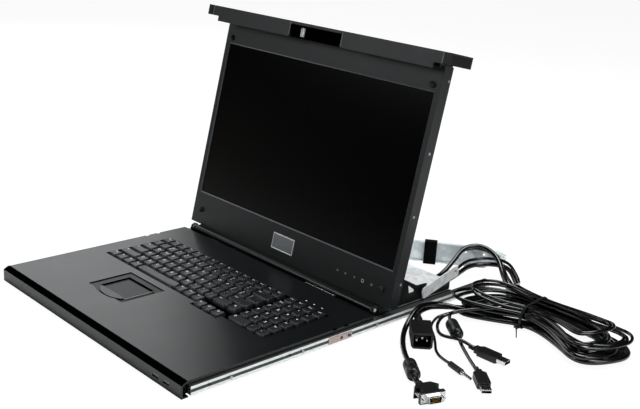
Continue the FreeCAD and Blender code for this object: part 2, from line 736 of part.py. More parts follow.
lcd = prism("display_bezel", "XZ", out(0), frame_thick, box(-lcd_half, lcd_half, up(0), up(lcd_high)),
            box(-view_half, view_half, up(view_low), up(view_high)))
soften(lcd, "Chamfer", view_chamfer, lambda e: all(
    abs(v.Y - number(face_y)) < 0.01 and abs(v.X) < number(view_half) + 1 for v in e.Vertexes))
pad(lcd, "XZ", out(-frame_thick), frame_deep - frame_thick,
    box(-lcd_half, lcd_half, up(0), up(lcd_high)),
    box(lcd_wall - lcd_half, lcd_half - lcd_wall, up(lcd_wall), up(lcd_high) - lcd_wall))
nodes["display_bezel"] = lean_back(lcd)
panel = prism("screen_panel", "XZ", out(-frame_thick), frame_deep - frame_thick,
              box(-view_half - panel_under, view_half + panel_under,
                  up(view_low - panel_under - 1), up(view_high + panel_under + 1)))
nodes["screen_panel"] = lean_back(panel)
back = prism("display_rear_cover", "XZ", out(-frame_deep), lcd_thick - frame_deep,
             box(-lcd_half, lcd_half, up(0), up(lcd_high)))
cut(back, "XZ", out(-frame_deep) - 0.5, lcd_thick - frame_deep - frame_thick + 0.5,
    box(lcd_wall - lcd_half, lcd_half - lcd_wall, up(lcd_wall), up(lcd_high) - lcd_wall))
nodes["display_rear_cover"] = lean_back(back)

barrel = prism("hinge_barrel", "YZ", -barrel_half, barrel_half * 2, ("circle", 0.0, 0.0, barrel_radius))
pad(barrel, "YZ", leaf_inset - barrel_half, barrel_half * 2 - leaf_inset * 2, [
    (0.2, 0.5), (0.2, barrel_radius - 0.2), (face_y, foot_z), (face_y + 14, foot_z),
    (face_y + 14, foot_z - 1.5),
    (face_y + 1.5, foot_z - 1.5), (3.5, 0.5)])
cut(barrel, "YZ", barrel_half - pin_deep - 1, pin_deep + 1.5, ("circle", 0.0, 0.0, pin_radius + pin_play))
cut(barrel, "YZ", -barrel_half - 0.5, pin_deep + 1.5, ("circle", 0.0, 0.0, pin_radius + pin_play))
nodes["hinge_barrel"] = lean_back(barrel)

plate_under = bezel_top - bezel_plate
channel = prism("bezel_channel", "YZ", -channel_half, channel_half * 2, [
    (out(channel_face), up(lcd_high - channel_drop)), (out(channel_face), up(plate_under)),
    (out(channel_face - bezel_flange), up(plate_under)),
    (out(channel_face - bezel_flange), up(lcd_high + bezel_flange)),
    (out(-channel_rear + bezel_flange), up(lcd_high + bezel_flange)),
    (out(-channel_rear + bezel_flange), up(plate_under)), (out(-channel_rear), up(plate_under)),
    (out(-channel_rear), up(lcd_high)), (out(channel_face - bezel_flange), up(lcd_high)),
    (out(channel_face - bezel_flange), up(lcd_high - channel_drop))])
nodes["bezel_channel"] = lean_back(channel)

bezel = prism("front_bezel", "YZ", -bezel_half, bezel_half * 2, [
    (out(bezel_user), up(bezel_low)), (out(bezel_user), up(bezel_top)),
    (out(-bezel_rear), up(bezel_top)), (out(-bezel_rear), up(bezel_low)),
    (out(bezel_flange - bezel_rear), up(bezel_low)), (out(bezel_flange - bezel_rear), up(plate_under)),
    (out(bezel_user - bezel_flange), up(plate_under)), (out(bezel_user - bezel_flange), up(bezel_low))])
pad(bezel, "XZ", out(bezel_user), bezel_flange,
    box(-channel_half, channel_half, up(bezel_low - flange_deep), up(bezel_low + 0.5)))
cut(bezel, "XZ", out(bezel_user) - 0.5, bezel_flange + 1,
    box(-window_half, window_half, up(bezel_low - flange_deep - 1), up(window_top)))
nodes["front_bezel"] = lean_back(bezel)
end_cap = prism("end_cap", "YZ", bezel_half - cap_deep, cap_deep,
                box(out(bezel_user - bezel_flange), out(bezel_flange - bezel_rear),
                    up(bezel_low + 0.6), up(plate_under)))
lean_back(end_cap)
twin = prism("end_cap_twin", "YZ", -bezel_half, cap_deep,
             box(out(bezel_user - bezel_flange), out(bezel_flange - bezel_rear),
                 up(bezel_low + 0.6), up(plate_under)))
lean_back(twin)
nodes["bezel_end_caps"] = gathered("bezel_end_caps", [end_cap, twin])

housing = prism("latch_housing", "XZ", out(latch_face), latch_face - channel_face,
                box(-latch_half, latch_half, up(latch_low), up(latch_high)))
cut(housing, "XZ", out(latch_face) - 0.5, latch_deep + 0.5,
    box(slide_left - fit_play * 2, slide_right + latch_travel + 1, up(latch_low + 2), up(latch_high - 2)))
nodes["latch_housing"] = lean_back(housing)
slider = prism("latch_slide", "XZ", out(latch_face - latch_deep + 2.2), 2,
               box(slide_left, slide_right, up(latch_low + 2.3), up(latch_high - 2.3)))
for bar_x in (slide_left + 0.8, slide_right - 2.8):
    pad(slider, "XZ", out(latch_face + 0.6), latch_deep - 1.5,
        box(bar_x, bar_x + 2, up(latch_low + 2.3), up(latch_high - 2.3)))
nodes["latch_slide"] = lean_back(slider)
bumpers = []
for bump_x, bump_s in ((lcd_half - bumper_side_low, bumper_up), (bumper_side_low - lcd_half, bumper_up),
                       (lcd_half - bumper_side_high, lcd_high - bumper_down),
                       (bumper_side_high - lcd_half, lcd_high - bumper_down)):
    bump = prism("bumper", "XZ", out(bumper_high), bumper_high,
                 ("circle", bump_x, up(bump_s), bumper_radius))
    bumpers.append(lean_back(bump))
nodes["bumpers"] = gathered("bumpers", bumpers)
badge = prism("badge_plate", "XZ", out(badge_thick), badge_thick,
              box(-23.5, 21.5, up(12.3), up(35.9)))
nodes["badge_plate"] = lean_back(badge)

# ---- cable arm ----------------------------------------------------------------------------
arm_mount = prism("arm_bracket", "XZ", cover_back, sheet_thick,
                  box(arm_x - 16, arm_x + 16, sheet_thick, arm_high + lug_gap + lug_thick))
for lug_z in (arm_low - lug_gap - lug_thick, arm_high + lug_gap):
    pad(arm_mount, "XY", lug_z, lug_thick,
        [(arm_x - 14, cover_back + 0.5), (arm_x + 14, cover_back + 0.5), (arm_x + 6, arm_y + 5),
         (arm_x - 6, arm_y + 5)])
cut(arm_mount, "XY", 0.5, 60, ("circle", arm_x, arm_y, arm_pin))
nodes["arm_bracket"] = arm_mount
link = prism("arm_link_inner", "XY", arm_low, arm_high - arm_low, ("circle", 0.0, 0.0, knuckle))
pad(link, "XY", elbow_low, elbow_high - elbow_low, ("circle", arm_long, 0.0, knuckle))
pad(link, "XZ", -arm_plate / 2, arm_plate, [
    (knuckle - 1, arm_low), (arm_long - 14, arm_low), (arm_long - 9, elbow_low),
    (arm_long - knuckle + 1, elbow_low), (arm_long - knuckle + 1, elbow_high),
    (arm_long - 9, elbow_high), (arm_long - 14, arm_high), (knuckle - 1, arm_high)])
pad(link, "XY", arm_high - arm_plate, arm_plate, box(12, arm_long - 16, -lip_wide, 0.5))
pad(link, "XY", arm_low, arm_plate, box(12, arm_long - 16, -lip_wide, 0.5))
cut(link, "XZ", -3, 6, *[("circle", arm_long - back, arm_high - drop, 2.0)
                         for back, drop in ((55, 11), (47, 11), (63.5, 25), (19, 12))])
cut(link, "XY", 1, 60, ("circle", 0.0, 0.0, arm_pin + arm_play))
cut(link, "XY", 1, 60, ("circle", arm_long, 0.0, arm_pin + arm_play))
nodes["arm_link_inner"] = place(link, V(0, 0, 1), arm_turn, arm_x, arm_y, 0.0)
strap = prism("arm_strap", "YZ", strap_start, strap_wide,
              box(-lip_wide - strap_thick, arm_plate / 2 + strap_thick,
                  arm_low - strap_thick, arm_high + strap_thick),
              box(-lip_wide, arm_plate / 2, arm_low, arm_high))
nodes["arm_strap"] = place(strap, V(0, 0, 1), arm_turn, arm_x, arm_y, 0.0)
root_pin = prism("root_pin", "XY", arm_low - lug_gap - lug_thick - 0.4,
                 arm_high - arm_low + (lug_gap + lug_thick) * 2 + 0.4, ("circle", arm_x, arm_y, arm_pin))
pad(root_pin, "XY", arm_high + lug_gap + lug_thick, 1.2, ("circle", arm_x, arm_y, arm_pin + 1.5))
nodes["arm_root_pin"] = root_pin
fork = prism("arm_link_outer", "XY", elbow_low - lug_gap - lug_thick, lug_thick,
             box(-6, fork_long, -6, 6))
pad(fork, "XY", elbow_high + lug_gap, lug_thick, box(-6, fork_long, -6, 6))
pad(fork, "YZ", fork_long - lug_thick, lug_thick, box(-6, 6, elbow_low - lug_gap - lug_thick,
                                     elbow_high + lug_gap + lug_thick))
pad(fork, "XY", elbow_low - lug_gap - lug_thick, elbow_high - elbow_low + (lug_gap + lug_thick) * 2 + 1.2,
    ("circle", 0.0, 0.0, arm_pin))
elbow_turn = math.radians(number(arm_turn))
elbow_x = arm_x + Named(number(arm_long) * math.cos(elbow_turn), "(sizes.arm_long * cos(sizes.arm_turn))")
elbow_y = arm_y + Named(number(arm_long) * math.sin(elbow_turn), "(sizes.arm_long * sin(sizes.arm_turn))")
nodes["arm_link_outer"] = place(fork, V(0, 0, -1), fork_turn, elbow_x, elbow_y, 0.0)

# ---- cords: straight runs joined by tangent arcs, from the glands to the hank and on to the plugs --
bend_share = 0.45


def bends(points):
    """The centre line through the points with an arc at each inner one, and its least radius."""
    edges = []
    at = points[0]
    least = 1e9
    for i in range(1, len(points) - 1):
        here = points[i]
        back_way = points[i - 1] - here
        on_way = points[i + 1] - here
        shorter = min(back_way.Length, on_way.Length)
        back_way.normalize()
        on_way.normalize()
        half_turn = (math.pi - back_way.getAngle(on_way)) / 2
        reach = bend_share * shorter
        radius = reach / math.tan(half_turn)
        least = min(least, radius)
        start = here + back_way * reach
        finish = here + on_way * reach
        inward = back_way + on_way
        inward.normalize()
        crown = here + inward * (radius / math.cos(half_turn) - radius)
        edges.append(Part.LineSegment(at, start).toShape())
        edges.append(Part.Arc(start, crown, finish).toShape())
        at = finish
    edges.append(Part.LineSegment(at, points[-1]).toShape())
    return Part.Wire(edges), least


def cord(name, radius, places):
    """A round cord along the places, as a sweep whose radius is a named value."""
    points = [V(*place_of) for place_of in places]
    wire, least = bends(points)
    path = doc.addObject("Part::Feature", name + "_path")
    path.Shape = wire
    ring = doc.addObject("Part::Circle", name + "_ring")
    bind(ring, "Radius", radius)
    ring.Placement = FreeCAD.Placement(points[0], FreeCAD.Rotation(V(0, 0, 1), points[1] - points[0]))
    doc.recompute()
    tube = doc.addObject("Part::Sweep", name)
    tube.Sections = [ring]
    tube.Spine = (path, ["Edge%d" % (i + 1) for i in range(len(wire.Edges))])
    tube.Solid = True
    tube.Frenet = False
    doc.recompute()
    ideal = math.pi * number(radius) ** 2 * wire.Length
    print(name, "length %.0f" % wire.Length, "least bend %.1f" % least,
          "volume ratio %.3f" % (tube.Shape.Volume / ideal))
    nodes[name] = tube
    return tube


cord("video_feed", video_radius, [
    (158, 321, 13), (158, 340, 13), (154, 373, 27), (147, 404, 42), (160, 431, 45), (190, 434, 36),
    (220, 411, 16.5), (244, 394, 11), (258, 375.5, 11)])
cord("power_feed", video_radius, [
    (172, 321, 11), (172, 340, 11), (166, 374, 13), (160, 408, 17), (176, 436, 18.5), (207, 440, 22),
    (231, 426, 12), (252, 406, 8), (270, 375.5, 9)])
cord("power_tail", video_radius, [
    (224, 255, 13), (220.5, 233, 12.5), (224.6, 216.2, 11), (237.5, 203.4, 11)])
cord("video_tail", video_radius, [
    (231, 256, 18), (226.5, 238, 21), (226.5, 218, 23), (232, 196, 18), (242, 171, 7), (261, 147, 4.2),
    (285, 124, 5), (310.8, 103.5, 8.5)])
cord("video_tail_end", video_radius, [(336.9, 83.3, 8.5), (343.2, 78.4, 8), (350.7, 75.6, 7)])
cord("usb_tail_a", usb_radius, [(249, 261, 13), (253, 247, 11), (268, 234.5, 9)])
cord("usb_tail_a_end", usb_radius, [(297, 212.2, 9), (312, 200.6, 6), (345, 178, 3), (372, 158.5, 5)])
cord("usb_tail_b", usb_radius, [
    (243, 255.5, 8), (245, 238, 5), (256, 220, 3), (274, 204, 4), (293, 195, 10), (309, 198, 13),
    (321, 204.3, 8.5), (331, 205.8, 5.5)])
cord("audio_tail", audio_radius, [
    (236, 254, 5), (238, 236, 2.4), (250, 214, 2.1), (270, 198, 2.2), (286, 182, 2.1), (301, 165, 2.2),
    (318, 155, 2.5), (336, 150, 4)])

hank = prism("cable_hank", "XY", hank_low, hank_high - hank_low, [
    (223, 254), (240, 252), (259, 266), (293, 284), (318, 308), (345, 308), (391, 285), (427, 264),
    (448, 273), (469, 306), (478, 342), (465, 370), (447, 375), (388, 381), (339, 379), (287, 376),
    (250, 376), (223, 290)])
soften(hank, "Chamfer", 5, lambda e: all(abs(v.Z - number(hank_high)) < 0.01 for v in e.Vertexes))
nodes["cable_hank"] = hank
ties = []
for tie_x, tie_front, tie_back in ((322, 308, 378.4), (436, 267, 377)):
    ties.append(prism("tie", "YZ", tie_x, 4.6,
                      box(tie_front - tie_play - tie_thick, tie_back + tie_play + tie_thick,
                          hank_low - tie_play - tie_thick, hank_high + tie_play + tie_thick),
                      box(tie_front - tie_play, tie_back + tie_play,
                          hank_low - tie_play, hank_high + tie_play)))
nodes["cable_ties"] = gathered("cable_ties", ties)


def along(thing, angle, x, y, z):
    """Lay a piece drawn along its own x to point at an angle in plan."""
    return place(thing, V(0, 0, 1), angle, x, y, z)


cores = []
for name, turn, x, y, long in (("video_ferrite", -37.8, 310.8, 103.5, 33),
                               ("usb_ferrite", -37.6, 268, 234.5, 36.6)):
    level = 8.5 if name == "video_ferrite" else 9.0
    core = prism(name, "YZ", 0.0, long, ("circle", 0.0, 0.0, ferrite_radius))
    soften(core, "Chamfer", 1.5, lambda e: len(e.Vertexes) == 1)
    cores.append(along(core, turn, x, y, level))

nodes["ferrites"] = gathered("ferrites", cores)

hood = prism("video_plug", "XY", -7.0, 14, [
    (0, -15.5), (0, 15.5), (-17, 15.5), (-24, 9), (-24, -9), (-17, -15.5)])
pad(hood, "YZ", -33.7, 10, ("circle", 0.0, 0.0, 4.6))
for side in (-1, 1):
    cut(hood, "XY", -8, 20, box(-15.2, -4.8, 10.6 if side > 0 else -17, 17 if side > 0 else -10.6))
nodes["video_plug"] = along(hood, -20.8, 382.5, 63.5, 7.0)
d_shell = prism("video_plug_shell", "YZ", 0.0, 0.9, box(-15.4, 15.4, -6.2, 6.2))
pad(d_shell, "YZ", 0.8, 5.8, [(-8.6, 4.2), (8.6, 4.2), (7.4, -4.2), (-7.4, -4.2)])
cut(d_shell, "YZ", 1.5, 6, [(-8, 3.6), (8, 3.6), (6.9, -3.6), (-6.9, -3.6)])
along(d_shell, -20.8, 382.5, 63.5, 7.0)
screws = []
for side in (-12.9, 12.9):
    screw = prism("thumb_screw", "YZ", -15, 10, ("circle", side, 0.0, 2.2))
    pad(screw, "YZ", 0.9, 4, ("circle", side, 0.0, 1.6))
    along(screw, -20.8, 382.5, 63.5, 7.0)
    screws.append(screw)
metals = [d_shell] + screws

inlet = prism("power_plug", "YZ", 0.0, 45, [
    (-13.5, -8), (-13.5, 10.5), (13.5, 10.5), (13.5, -8), (10.5, -10.9), (-10.5, -10.9)])
soften(inlet, "Chamfer", 3, lambda e: all(abs(v.X) < 0.01 for v in e.Vertexes))
cut(inlet, "YZ", 27, 20, [
    (-10.8, -6.6), (-10.8, 7.8), (10.8, 7.8), (10.8, -6.6), (8.4, -8.4), (-8.4, -8.4)])
pad(inlet, "YZ", -20, 21, ("circle", 0.0, 0.0, 5.2))
nodes["power_plug"] = along(inlet, -44.3, 251.8, 189.4, 11.0)

for name, turn, x, y, z in (("usb_plug_a", -40.0, 372, 158.5, 5.2), ("usb_plug_b", 1.6, 331, 205.8, 5.4)):
    grip = prism(name, "XY", -4.2, 8.4, [
        (8, -8), (34, -8), (36, -6), (36, 6), (34, 8), (8, 8), (5, 4), (0, 3.4), (0, -3.4), (5, -4)])
    along(grip, turn, x, y, z)
    nodes[name] = grip
    metal = prism(name + "_shell", "YZ", 36, 12.5, box(-6, 6, -2.25, 2.25))
    cut(metal, "YZ", 37, 12, box(-5.6, 5.6, -1.85, 1.85))
    pad(metal, "YZ", 36.5, 11, box(-5.6, 5.6, 0.1, 1.85))
    along(metal, turn, x, y, z)
    metals.append(metal)
jack = prism("audio_plug", "YZ", 0.0, 24, ("circle", 0.0, 0.0, 3.8))
soften(jack, "Chamfer", 1, lambda e: len(e.Vertexes) == 1)
nodes["audio_plug"] = along(jack, -15, 336, 150, 4.0)
tip = prism("audio_tip", "YZ", 24, 4, ("circle", 0.0, 0.0, 2.8))
pad(tip, "YZ", 28, 14, ("circle", 0.0, 0.0, 1.75))
metals.append(along(tip, -15, 336, 150, 4.0))
nodes["connector_shells"] = gathered("connector_shells", metals)

doc.recompute()
for name, thing in nodes.items():
    if "Invalid" in thing.State or "Error" in thing.State:
        raise RuntimeError("not valid: " + name)
    if thing.Shape.isNull() or not thing.Shape.isValid() or thing.Shape.Volume < 1:
        raise RuntimeError("bad shape: " + name)
    thing.Label = name
    thing.Shape.exportStep("parts/%s.step" % name)
print("written", len(nodes))
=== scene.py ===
import math

import bpy
import numpy as np
from mathutils import Matrix, Vector


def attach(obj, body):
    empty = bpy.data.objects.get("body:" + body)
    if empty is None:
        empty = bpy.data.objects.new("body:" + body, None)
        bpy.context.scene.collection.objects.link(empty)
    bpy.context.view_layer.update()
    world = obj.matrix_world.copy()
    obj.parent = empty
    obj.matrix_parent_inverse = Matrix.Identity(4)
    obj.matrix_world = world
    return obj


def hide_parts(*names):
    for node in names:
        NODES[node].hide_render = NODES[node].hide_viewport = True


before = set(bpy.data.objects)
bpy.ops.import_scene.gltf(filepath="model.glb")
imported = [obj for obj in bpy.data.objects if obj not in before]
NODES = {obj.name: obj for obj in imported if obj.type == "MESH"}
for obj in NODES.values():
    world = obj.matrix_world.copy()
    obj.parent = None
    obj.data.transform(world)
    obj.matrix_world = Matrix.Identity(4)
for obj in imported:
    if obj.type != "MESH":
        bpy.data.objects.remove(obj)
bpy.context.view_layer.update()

bl_info = {
    "name": "Rack console drawer",
    "version": (1, 0, 0),
    "blender": (4, 5, 0),
    "location": "View3D > Sidebar > Console",
    "description": "Finishes a rack console drawer: keycaps, display, slides, cable arm and leads",
    "category": "Object",
}

MM = 0.001

# The display stands on the hinge axis and leans back; its own x, n (out of its face) and
# s (up from its lower edge) make the places of what is fitted on it.
HINGE = Vector((0.0, 161.0, 20.8)) * MM
LEAN = math.radians(11.87)
FACE_BEHIND_AXIS = 5.94 * MM
FOOT_ABOVE_AXIS = 6.77 * MM


ABOUT_X = ((0, 0, 0), (1, 0, 0))


# ---- small tools ---------------------------------------------------------------------------

def linear(code):
    """An sRGB hex colour as linear RGBA: each channel c gives ((c + 0.055) / 1.055) ** 2.4."""
    channels = [int(code[i:i + 2], 16) / 255 for i in (1, 3, 5)]
    out = [c / 12.92 if c <= 0.04045 else ((c + 0.055) / 1.055) ** 2.4 for c in channels]
    return (*out, 1.0)


def scaled(colour, share):
    """A linear colour made lighter or darker, no channel over 1."""
    return (*[min(1, c * share) for c in colour[:3]], 1)


def add_node(tree, kind, settings=None, **inputs):
    """Add one node: settings are its attributes, inputs are values or sockets by socket name."""
    made = tree.nodes.new(kind)
    for name, value in (settings or {}).items():
        setattr(made, name, value)
    for name, value in inputs.items():
        key = name.replace("_", " ")
        socket = made.inputs[int(name[1:])] if name[0] == "n" and name[1:].isdigit() else made.inputs[key]
        if isinstance(value, bpy.types.NodeSocket):
            tree.links.new(value, socket)
        else:
            socket.default_value = value
    return made


def new_material(name):
    """An empty node material with its output, and the tree to fill."""
    made = bpy.data.materials.new(name)
    made.use_nodes = True
    made.node_tree.nodes.clear()
    return made, made.node_tree


def close_material(tree, shader):
    """Join a shader to the material's output."""
    add_node(tree, "ShaderNodeOutputMaterial", Surface=shader.outputs[0])


def piece(name, points, faces, body, material, smooth=True, replaces=()):
    """A mesh object in the row frame that rides on a body."""
    mesh = bpy.data.meshes.new(name)
    mesh.from_pydata(np.asarray(points).tolist(), [], [list(map(int, face)) for face in faces])
    mesh.validate()
    if smooth:
        mesh.shade_smooth()
    made = bpy.data.objects.new(name, mesh)
    bpy.context.scene.collection.objects.link(made)
    made.data.materials.append(bpy.data.materials[material])
    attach(made, body)
    if replaces:
        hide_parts(*replaces)
    return made


def grid_faces(rows, columns, closed=False):
    """Quads of a rows by columns grid of points; closed joins the last column to the first."""
    r, c = np.meshgrid(np.arange(rows - 1), np.arange(columns if closed else columns - 1), indexing="ij")
    after = (c + 1) % columns
    quads = np.stack([r * columns + c, r * columns + after, (r + 1) * columns + after,
                      (r + 1) * columns + c], axis=-1)
    return quads.reshape(-1, 4)


def joined(parts):
    """Several (points, faces) pairs as one."""
    points = []
    faces = []
    base = 0
    for part_points, part_faces in parts:
        points.append(np.asarray(part_points))
        faces += [tuple(int(i) + base for i in face) for face in part_faces]
        base += len(part_points)
    return np.concatenate(points), faces


def lathe(profile, about, along, segments=32):
    """Turn (distance along, radius) pairs about an axis: each ring is centre + radius (u cos a + v sin a)."""
    along = Vector(along).normalized()
    u = np.array(along.orthogonal().normalized())
    v = np.array(along.cross(Vector(u)).normalized())
    angle = np.linspace(0, 2 * math.pi, segments, endpoint=False)
    profile = np.asarray(profile, float)
    ring = np.cos(angle)[:, None] * u + np.sin(angle)[:, None] * v
    centre = np.array(about) + profile[:, :1] * np.array(along)
    points = centre[:, None, :] + profile[:, 1][:, None, None] * ring[None]
    faces = grid_faces(len(profile), segments, closed=True).tolist()
    faces.append(list(range(segments))[::-1])
    last = (len(profile) - 1) * segments
    faces.append(list(range(last, last + segments)))
    return points.reshape(-1, 3), faces


def block(x0, x1, y0, y1, z0, z1):
    """A box as points and faces."""
    points = [(x, y, z) for x in (x0, x1) for y in (y0, y1) for z in (z0, z1)]
    faces = [(0, 1, 3, 2), (4, 6, 7, 5), (0, 4, 5, 1), (2, 3, 7, 6), (0, 2, 6, 4), (1, 5, 7, 3)]
    return np.array(points, float), faces


def slab(outline, low, high):
    """A flat plate: the outline in x, y between two levels of z."""
    outline = np.asarray(outline, float)
    count = len(outline)
    points = np.concatenate([np.column_stack([outline, np.full(count, level)]) for level in (low, high)])
    faces = [tuple(range(count))[::-1], tuple(range(count, 2 * count))]
    faces += [(i, (i + 1) % count, count + (i + 1) % count, count + i) for i in range(count)]
    return points, faces


def rounded(wide, high, corner):
    """A rectangle about the origin with round corners: each corner is its centre + corner (cos a, sin a)."""
    angle = np.linspace(0, math.pi / 2, 5)
    out = []
    for turn, (sx, sy) in enumerate(((1, 1), (-1, 1), (-1, -1), (1, -1))):
        a = angle + turn * math.pi / 2
        out.append(np.column_stack([sx * (wide / 2 - corner) + corner * np.cos(a),
                                    sy * (high / 2 - corner) + corner * np.sin(a)]))
    return np.concatenate(out)


def tower(sections):
    """Rings of equal count joined up one after another, closed at both ends."""
    count = len(sections[0])
    faces = grid_faces(len(sections), count, closed=True).tolist()
    last = (len(sections) - 1) * count
    return np.concatenate(sections), faces + [list(range(count))[::-1], list(range(last, last + count))]


def put(part, origin=(0, 0, 0), turn=0.0):
    """A part in millimetres drawn about its own origin, turned about z and moved, now in metres."""
    points, faces = part
    a = math.radians(turn)
    spin = np.array([[math.cos(a), -math.sin(a), 0], [math.sin(a), math.cos(a), 0], [0, 0, 1]])
    return (np.asarray(points, float) @ spin.T + np.array(origin, float)) * MM, faces


def lettering(word, high):
    """A word as flat points and triangles in millimetres, its left end on the origin's line."""
    curve = bpy.data.curves.new("word", "FONT")
    curve.body = word
    curve.size = high
    curve.resolution_u = 2
    made = bpy.data.objects.new("word", curve)
    mesh = bpy.data.meshes.new_from_object(made)
    points = np.empty(len(mesh.vertices) * 3)
    mesh.vertices.foreach_get("co", points)
    faces = [tuple(face.vertices) for face in mesh.polygons]
    bpy.data.objects.remove(made)
    bpy.data.curves.remove(curve)
    bpy.data.meshes.remove(mesh)
    return points.reshape(-1, 3), faces


def screw_head(centre, along, radius, high):
    """A low domed screw head with a driver's hollow in it."""
    profile = [(0, radius), (high * 0.5, radius), (high * 0.85, radius * 0.86), (high, radius * 0.62),
               (high, radius * 0.42), (high * 0.45, radius * 0.34), (high * 0.4, radius * 0.02)]
    return lathe(profile, centre, along, 20)


def second_finish(node, material, chosen):
    """Give some faces of a node another material: chosen(centres, normals) picks them."""
    mesh = NODES[node].data
    mesh.materials.append(bpy.data.materials[material])
    count = len(mesh.polygons)
    centres = np.empty(count * 3)
    normals = np.empty(count * 3)
    mesh.polygons.foreach_get("center", centres)
    mesh.polygons.foreach_get("normal", normals)
    picked = chosen(centres.reshape(-1, 3), normals.reshape(-1, 3))
    mesh.polygons.foreach_set("material_index", np.asarray(picked, int))


def on_display(places):
    """Row-frame places of (x, n, s) rows on the display: the hinge + the lean's turn of
    (x, face - n, foot + s)."""
    places = np.asarray(places, float).reshape(-1, 3) * MM
    local = np.column_stack([places[:, 0], FACE_BEHIND_AXIS - places[:, 1], FOOT_ABOVE_AXIS + places[:, 2]])
    return local @ np.array(Matrix.Rotation(-LEAN, 3, "X")).T + np.array(HINGE)


def upright(outline, x, n, up):
    """An outline drawn about its own centre, set upright on the display's face."""
    return np.column_stack([outline[:, 0] + x, np.full(len(outline), n), outline[:, 1] + up])


def fitted(parts):
    """Several parts drawn in the display's own x, n, s, as one in the row frame."""
    return joined([(on_display(points), faces) for points, faces in parts])


# ---- settings ------------------------------------------------------------------------------

def length(name, description, millimetres):
    """A length that the panel shows."""
    return bpy.props.FloatProperty(name=name, description=description, default=millimetres * MM,
                                   unit="LENGTH")


def colour(name, code):
    """A colour that the panel shows, as its sRGB hex code."""
    return bpy.props.StringProperty(name=name, description="sRGB hex", default=code)


class ConsoleSizes(bpy.types.PropertyGroup):
    key_pitch: length("Key pitch", "Spacing of the keys along a row", 18.0)
    key_gap: length("Key gap", "Gap between neighbouring keycaps", 1.1)
    key_dish: length("Key dish", "Depth of the hollow in a keycap's top", 0.5)
    lead: length("Lead", "Diameter of the video and power leads", 7.0)
    thin_lead: length("Thin lead", "Diameter of the USB leads", 4.5)
    audio_lead: length("Audio lead", "Diameter of the audio lead", 3.8)


class ConsoleColours(bpy.types.PropertyGroup):
    coat: colour("Powder coat", "#0B0D0E")
    moulded: colour("Display shell", "#181A1B")
    keycap: colour("Keycaps", "#131416")
    steel: colour("Galvanised steel", "#ECF4F9")
    zinc: colour("Zinc plate", "#B4BAB6")
    sheath: colour("Cable sheath", "#040404")
    legend: colour("Legends", "#F2F4F6")


# ---- materials -----------------------------------------------------------------------------

def coated(name, colour, rough, grain_mm, bump, edge_mm=0.5, coat=0.0, mottle=0.25, mirror=0.5):
    """A coated or moulded skin: a fine stipple in the bump, slight unevenness in colour and gloss,
    and worn-soft edges from a bevelled normal."""
    tree = new_material(name)[1]
    place = add_node(tree, "ShaderNodeTexCoord").outputs["Object"]
    stipple = add_node(tree, "ShaderNodeTexNoise", Vector=place, Scale=1000 / grain_mm, Detail=2.0)
    cloud = add_node(tree, "ShaderNodeTexNoise", Vector=place, Scale=18.0, Detail=4.0, Roughness=0.6)
    base = linear(colour)
    shade = add_node(tree, "ShaderNodeMix", {"data_type": "RGBA"}, Factor=cloud.outputs["Fac"],
                     n6=scaled(base, 1 - mottle), n7=scaled(base, 1 + mottle))
    gloss = add_node(tree, "ShaderNodeMapRange", Value=cloud.outputs["Fac"], n3=rough * 0.85, n4=rough * 1.15)
    rounded = add_node(tree, "ShaderNodeBevel", Radius=edge_mm * MM)
    rough_skin = add_node(tree, "ShaderNodeBump", Strength=bump, Distance=0.15 * MM,
                          Height=stipple.outputs["Fac"], Normal=rounded.outputs["Normal"])
    shader = add_node(tree, "ShaderNodeBsdfPrincipled", Base_Color=shade.outputs[2],
                      Roughness=gloss.outputs["Result"], Normal=rough_skin.outputs["Normal"])
    shader.inputs["Coat Weight"].default_value = coat
    shader.inputs["Coat Roughness"].default_value = 0.12
    shader.inputs["Specular IOR Level"].default_value = mirror
    close_material(tree, shader)


def galvanised_steel(name, colour):
    """Hot-dip galvanised sheet: zinc crystals some 9 mm across, each a little lighter or duller."""
    tree = new_material(name)[1]
    place = add_node(tree, "ShaderNodeTexCoord").outputs["Object"]
    spangle = add_node(tree, "ShaderNodeTexVoronoi", Vector=place, Scale=1000 / 9, Randomness=1.0)
    haze = add_node(tree, "ShaderNodeTexNoise", Vector=place, Scale=30.0, Detail=5.0)
    grey = add_node(tree, "ShaderNodeSeparateColor", Color=spangle.outputs["Color"])
    base = linear(colour)
    shade = add_node(tree, "ShaderNodeMix", {"data_type": "RGBA"}, Factor=grey.outputs[0],
                     n6=scaled(base, 0.82), n7=scaled(base, 1.12))
    gloss = add_node(tree, "ShaderNodeMapRange", Value=haze.outputs["Fac"], n3=0.28, n4=0.5)
    rounded = add_node(tree, "ShaderNodeBevel", Radius=0.4 * MM)
    shader = add_node(tree, "ShaderNodeBsdfPrincipled", Base_Color=shade.outputs[2], Metallic=0.3,
                      Roughness=gloss.outputs["Result"], Normal=rounded.outputs["Normal"])
    close_material(tree, shader)


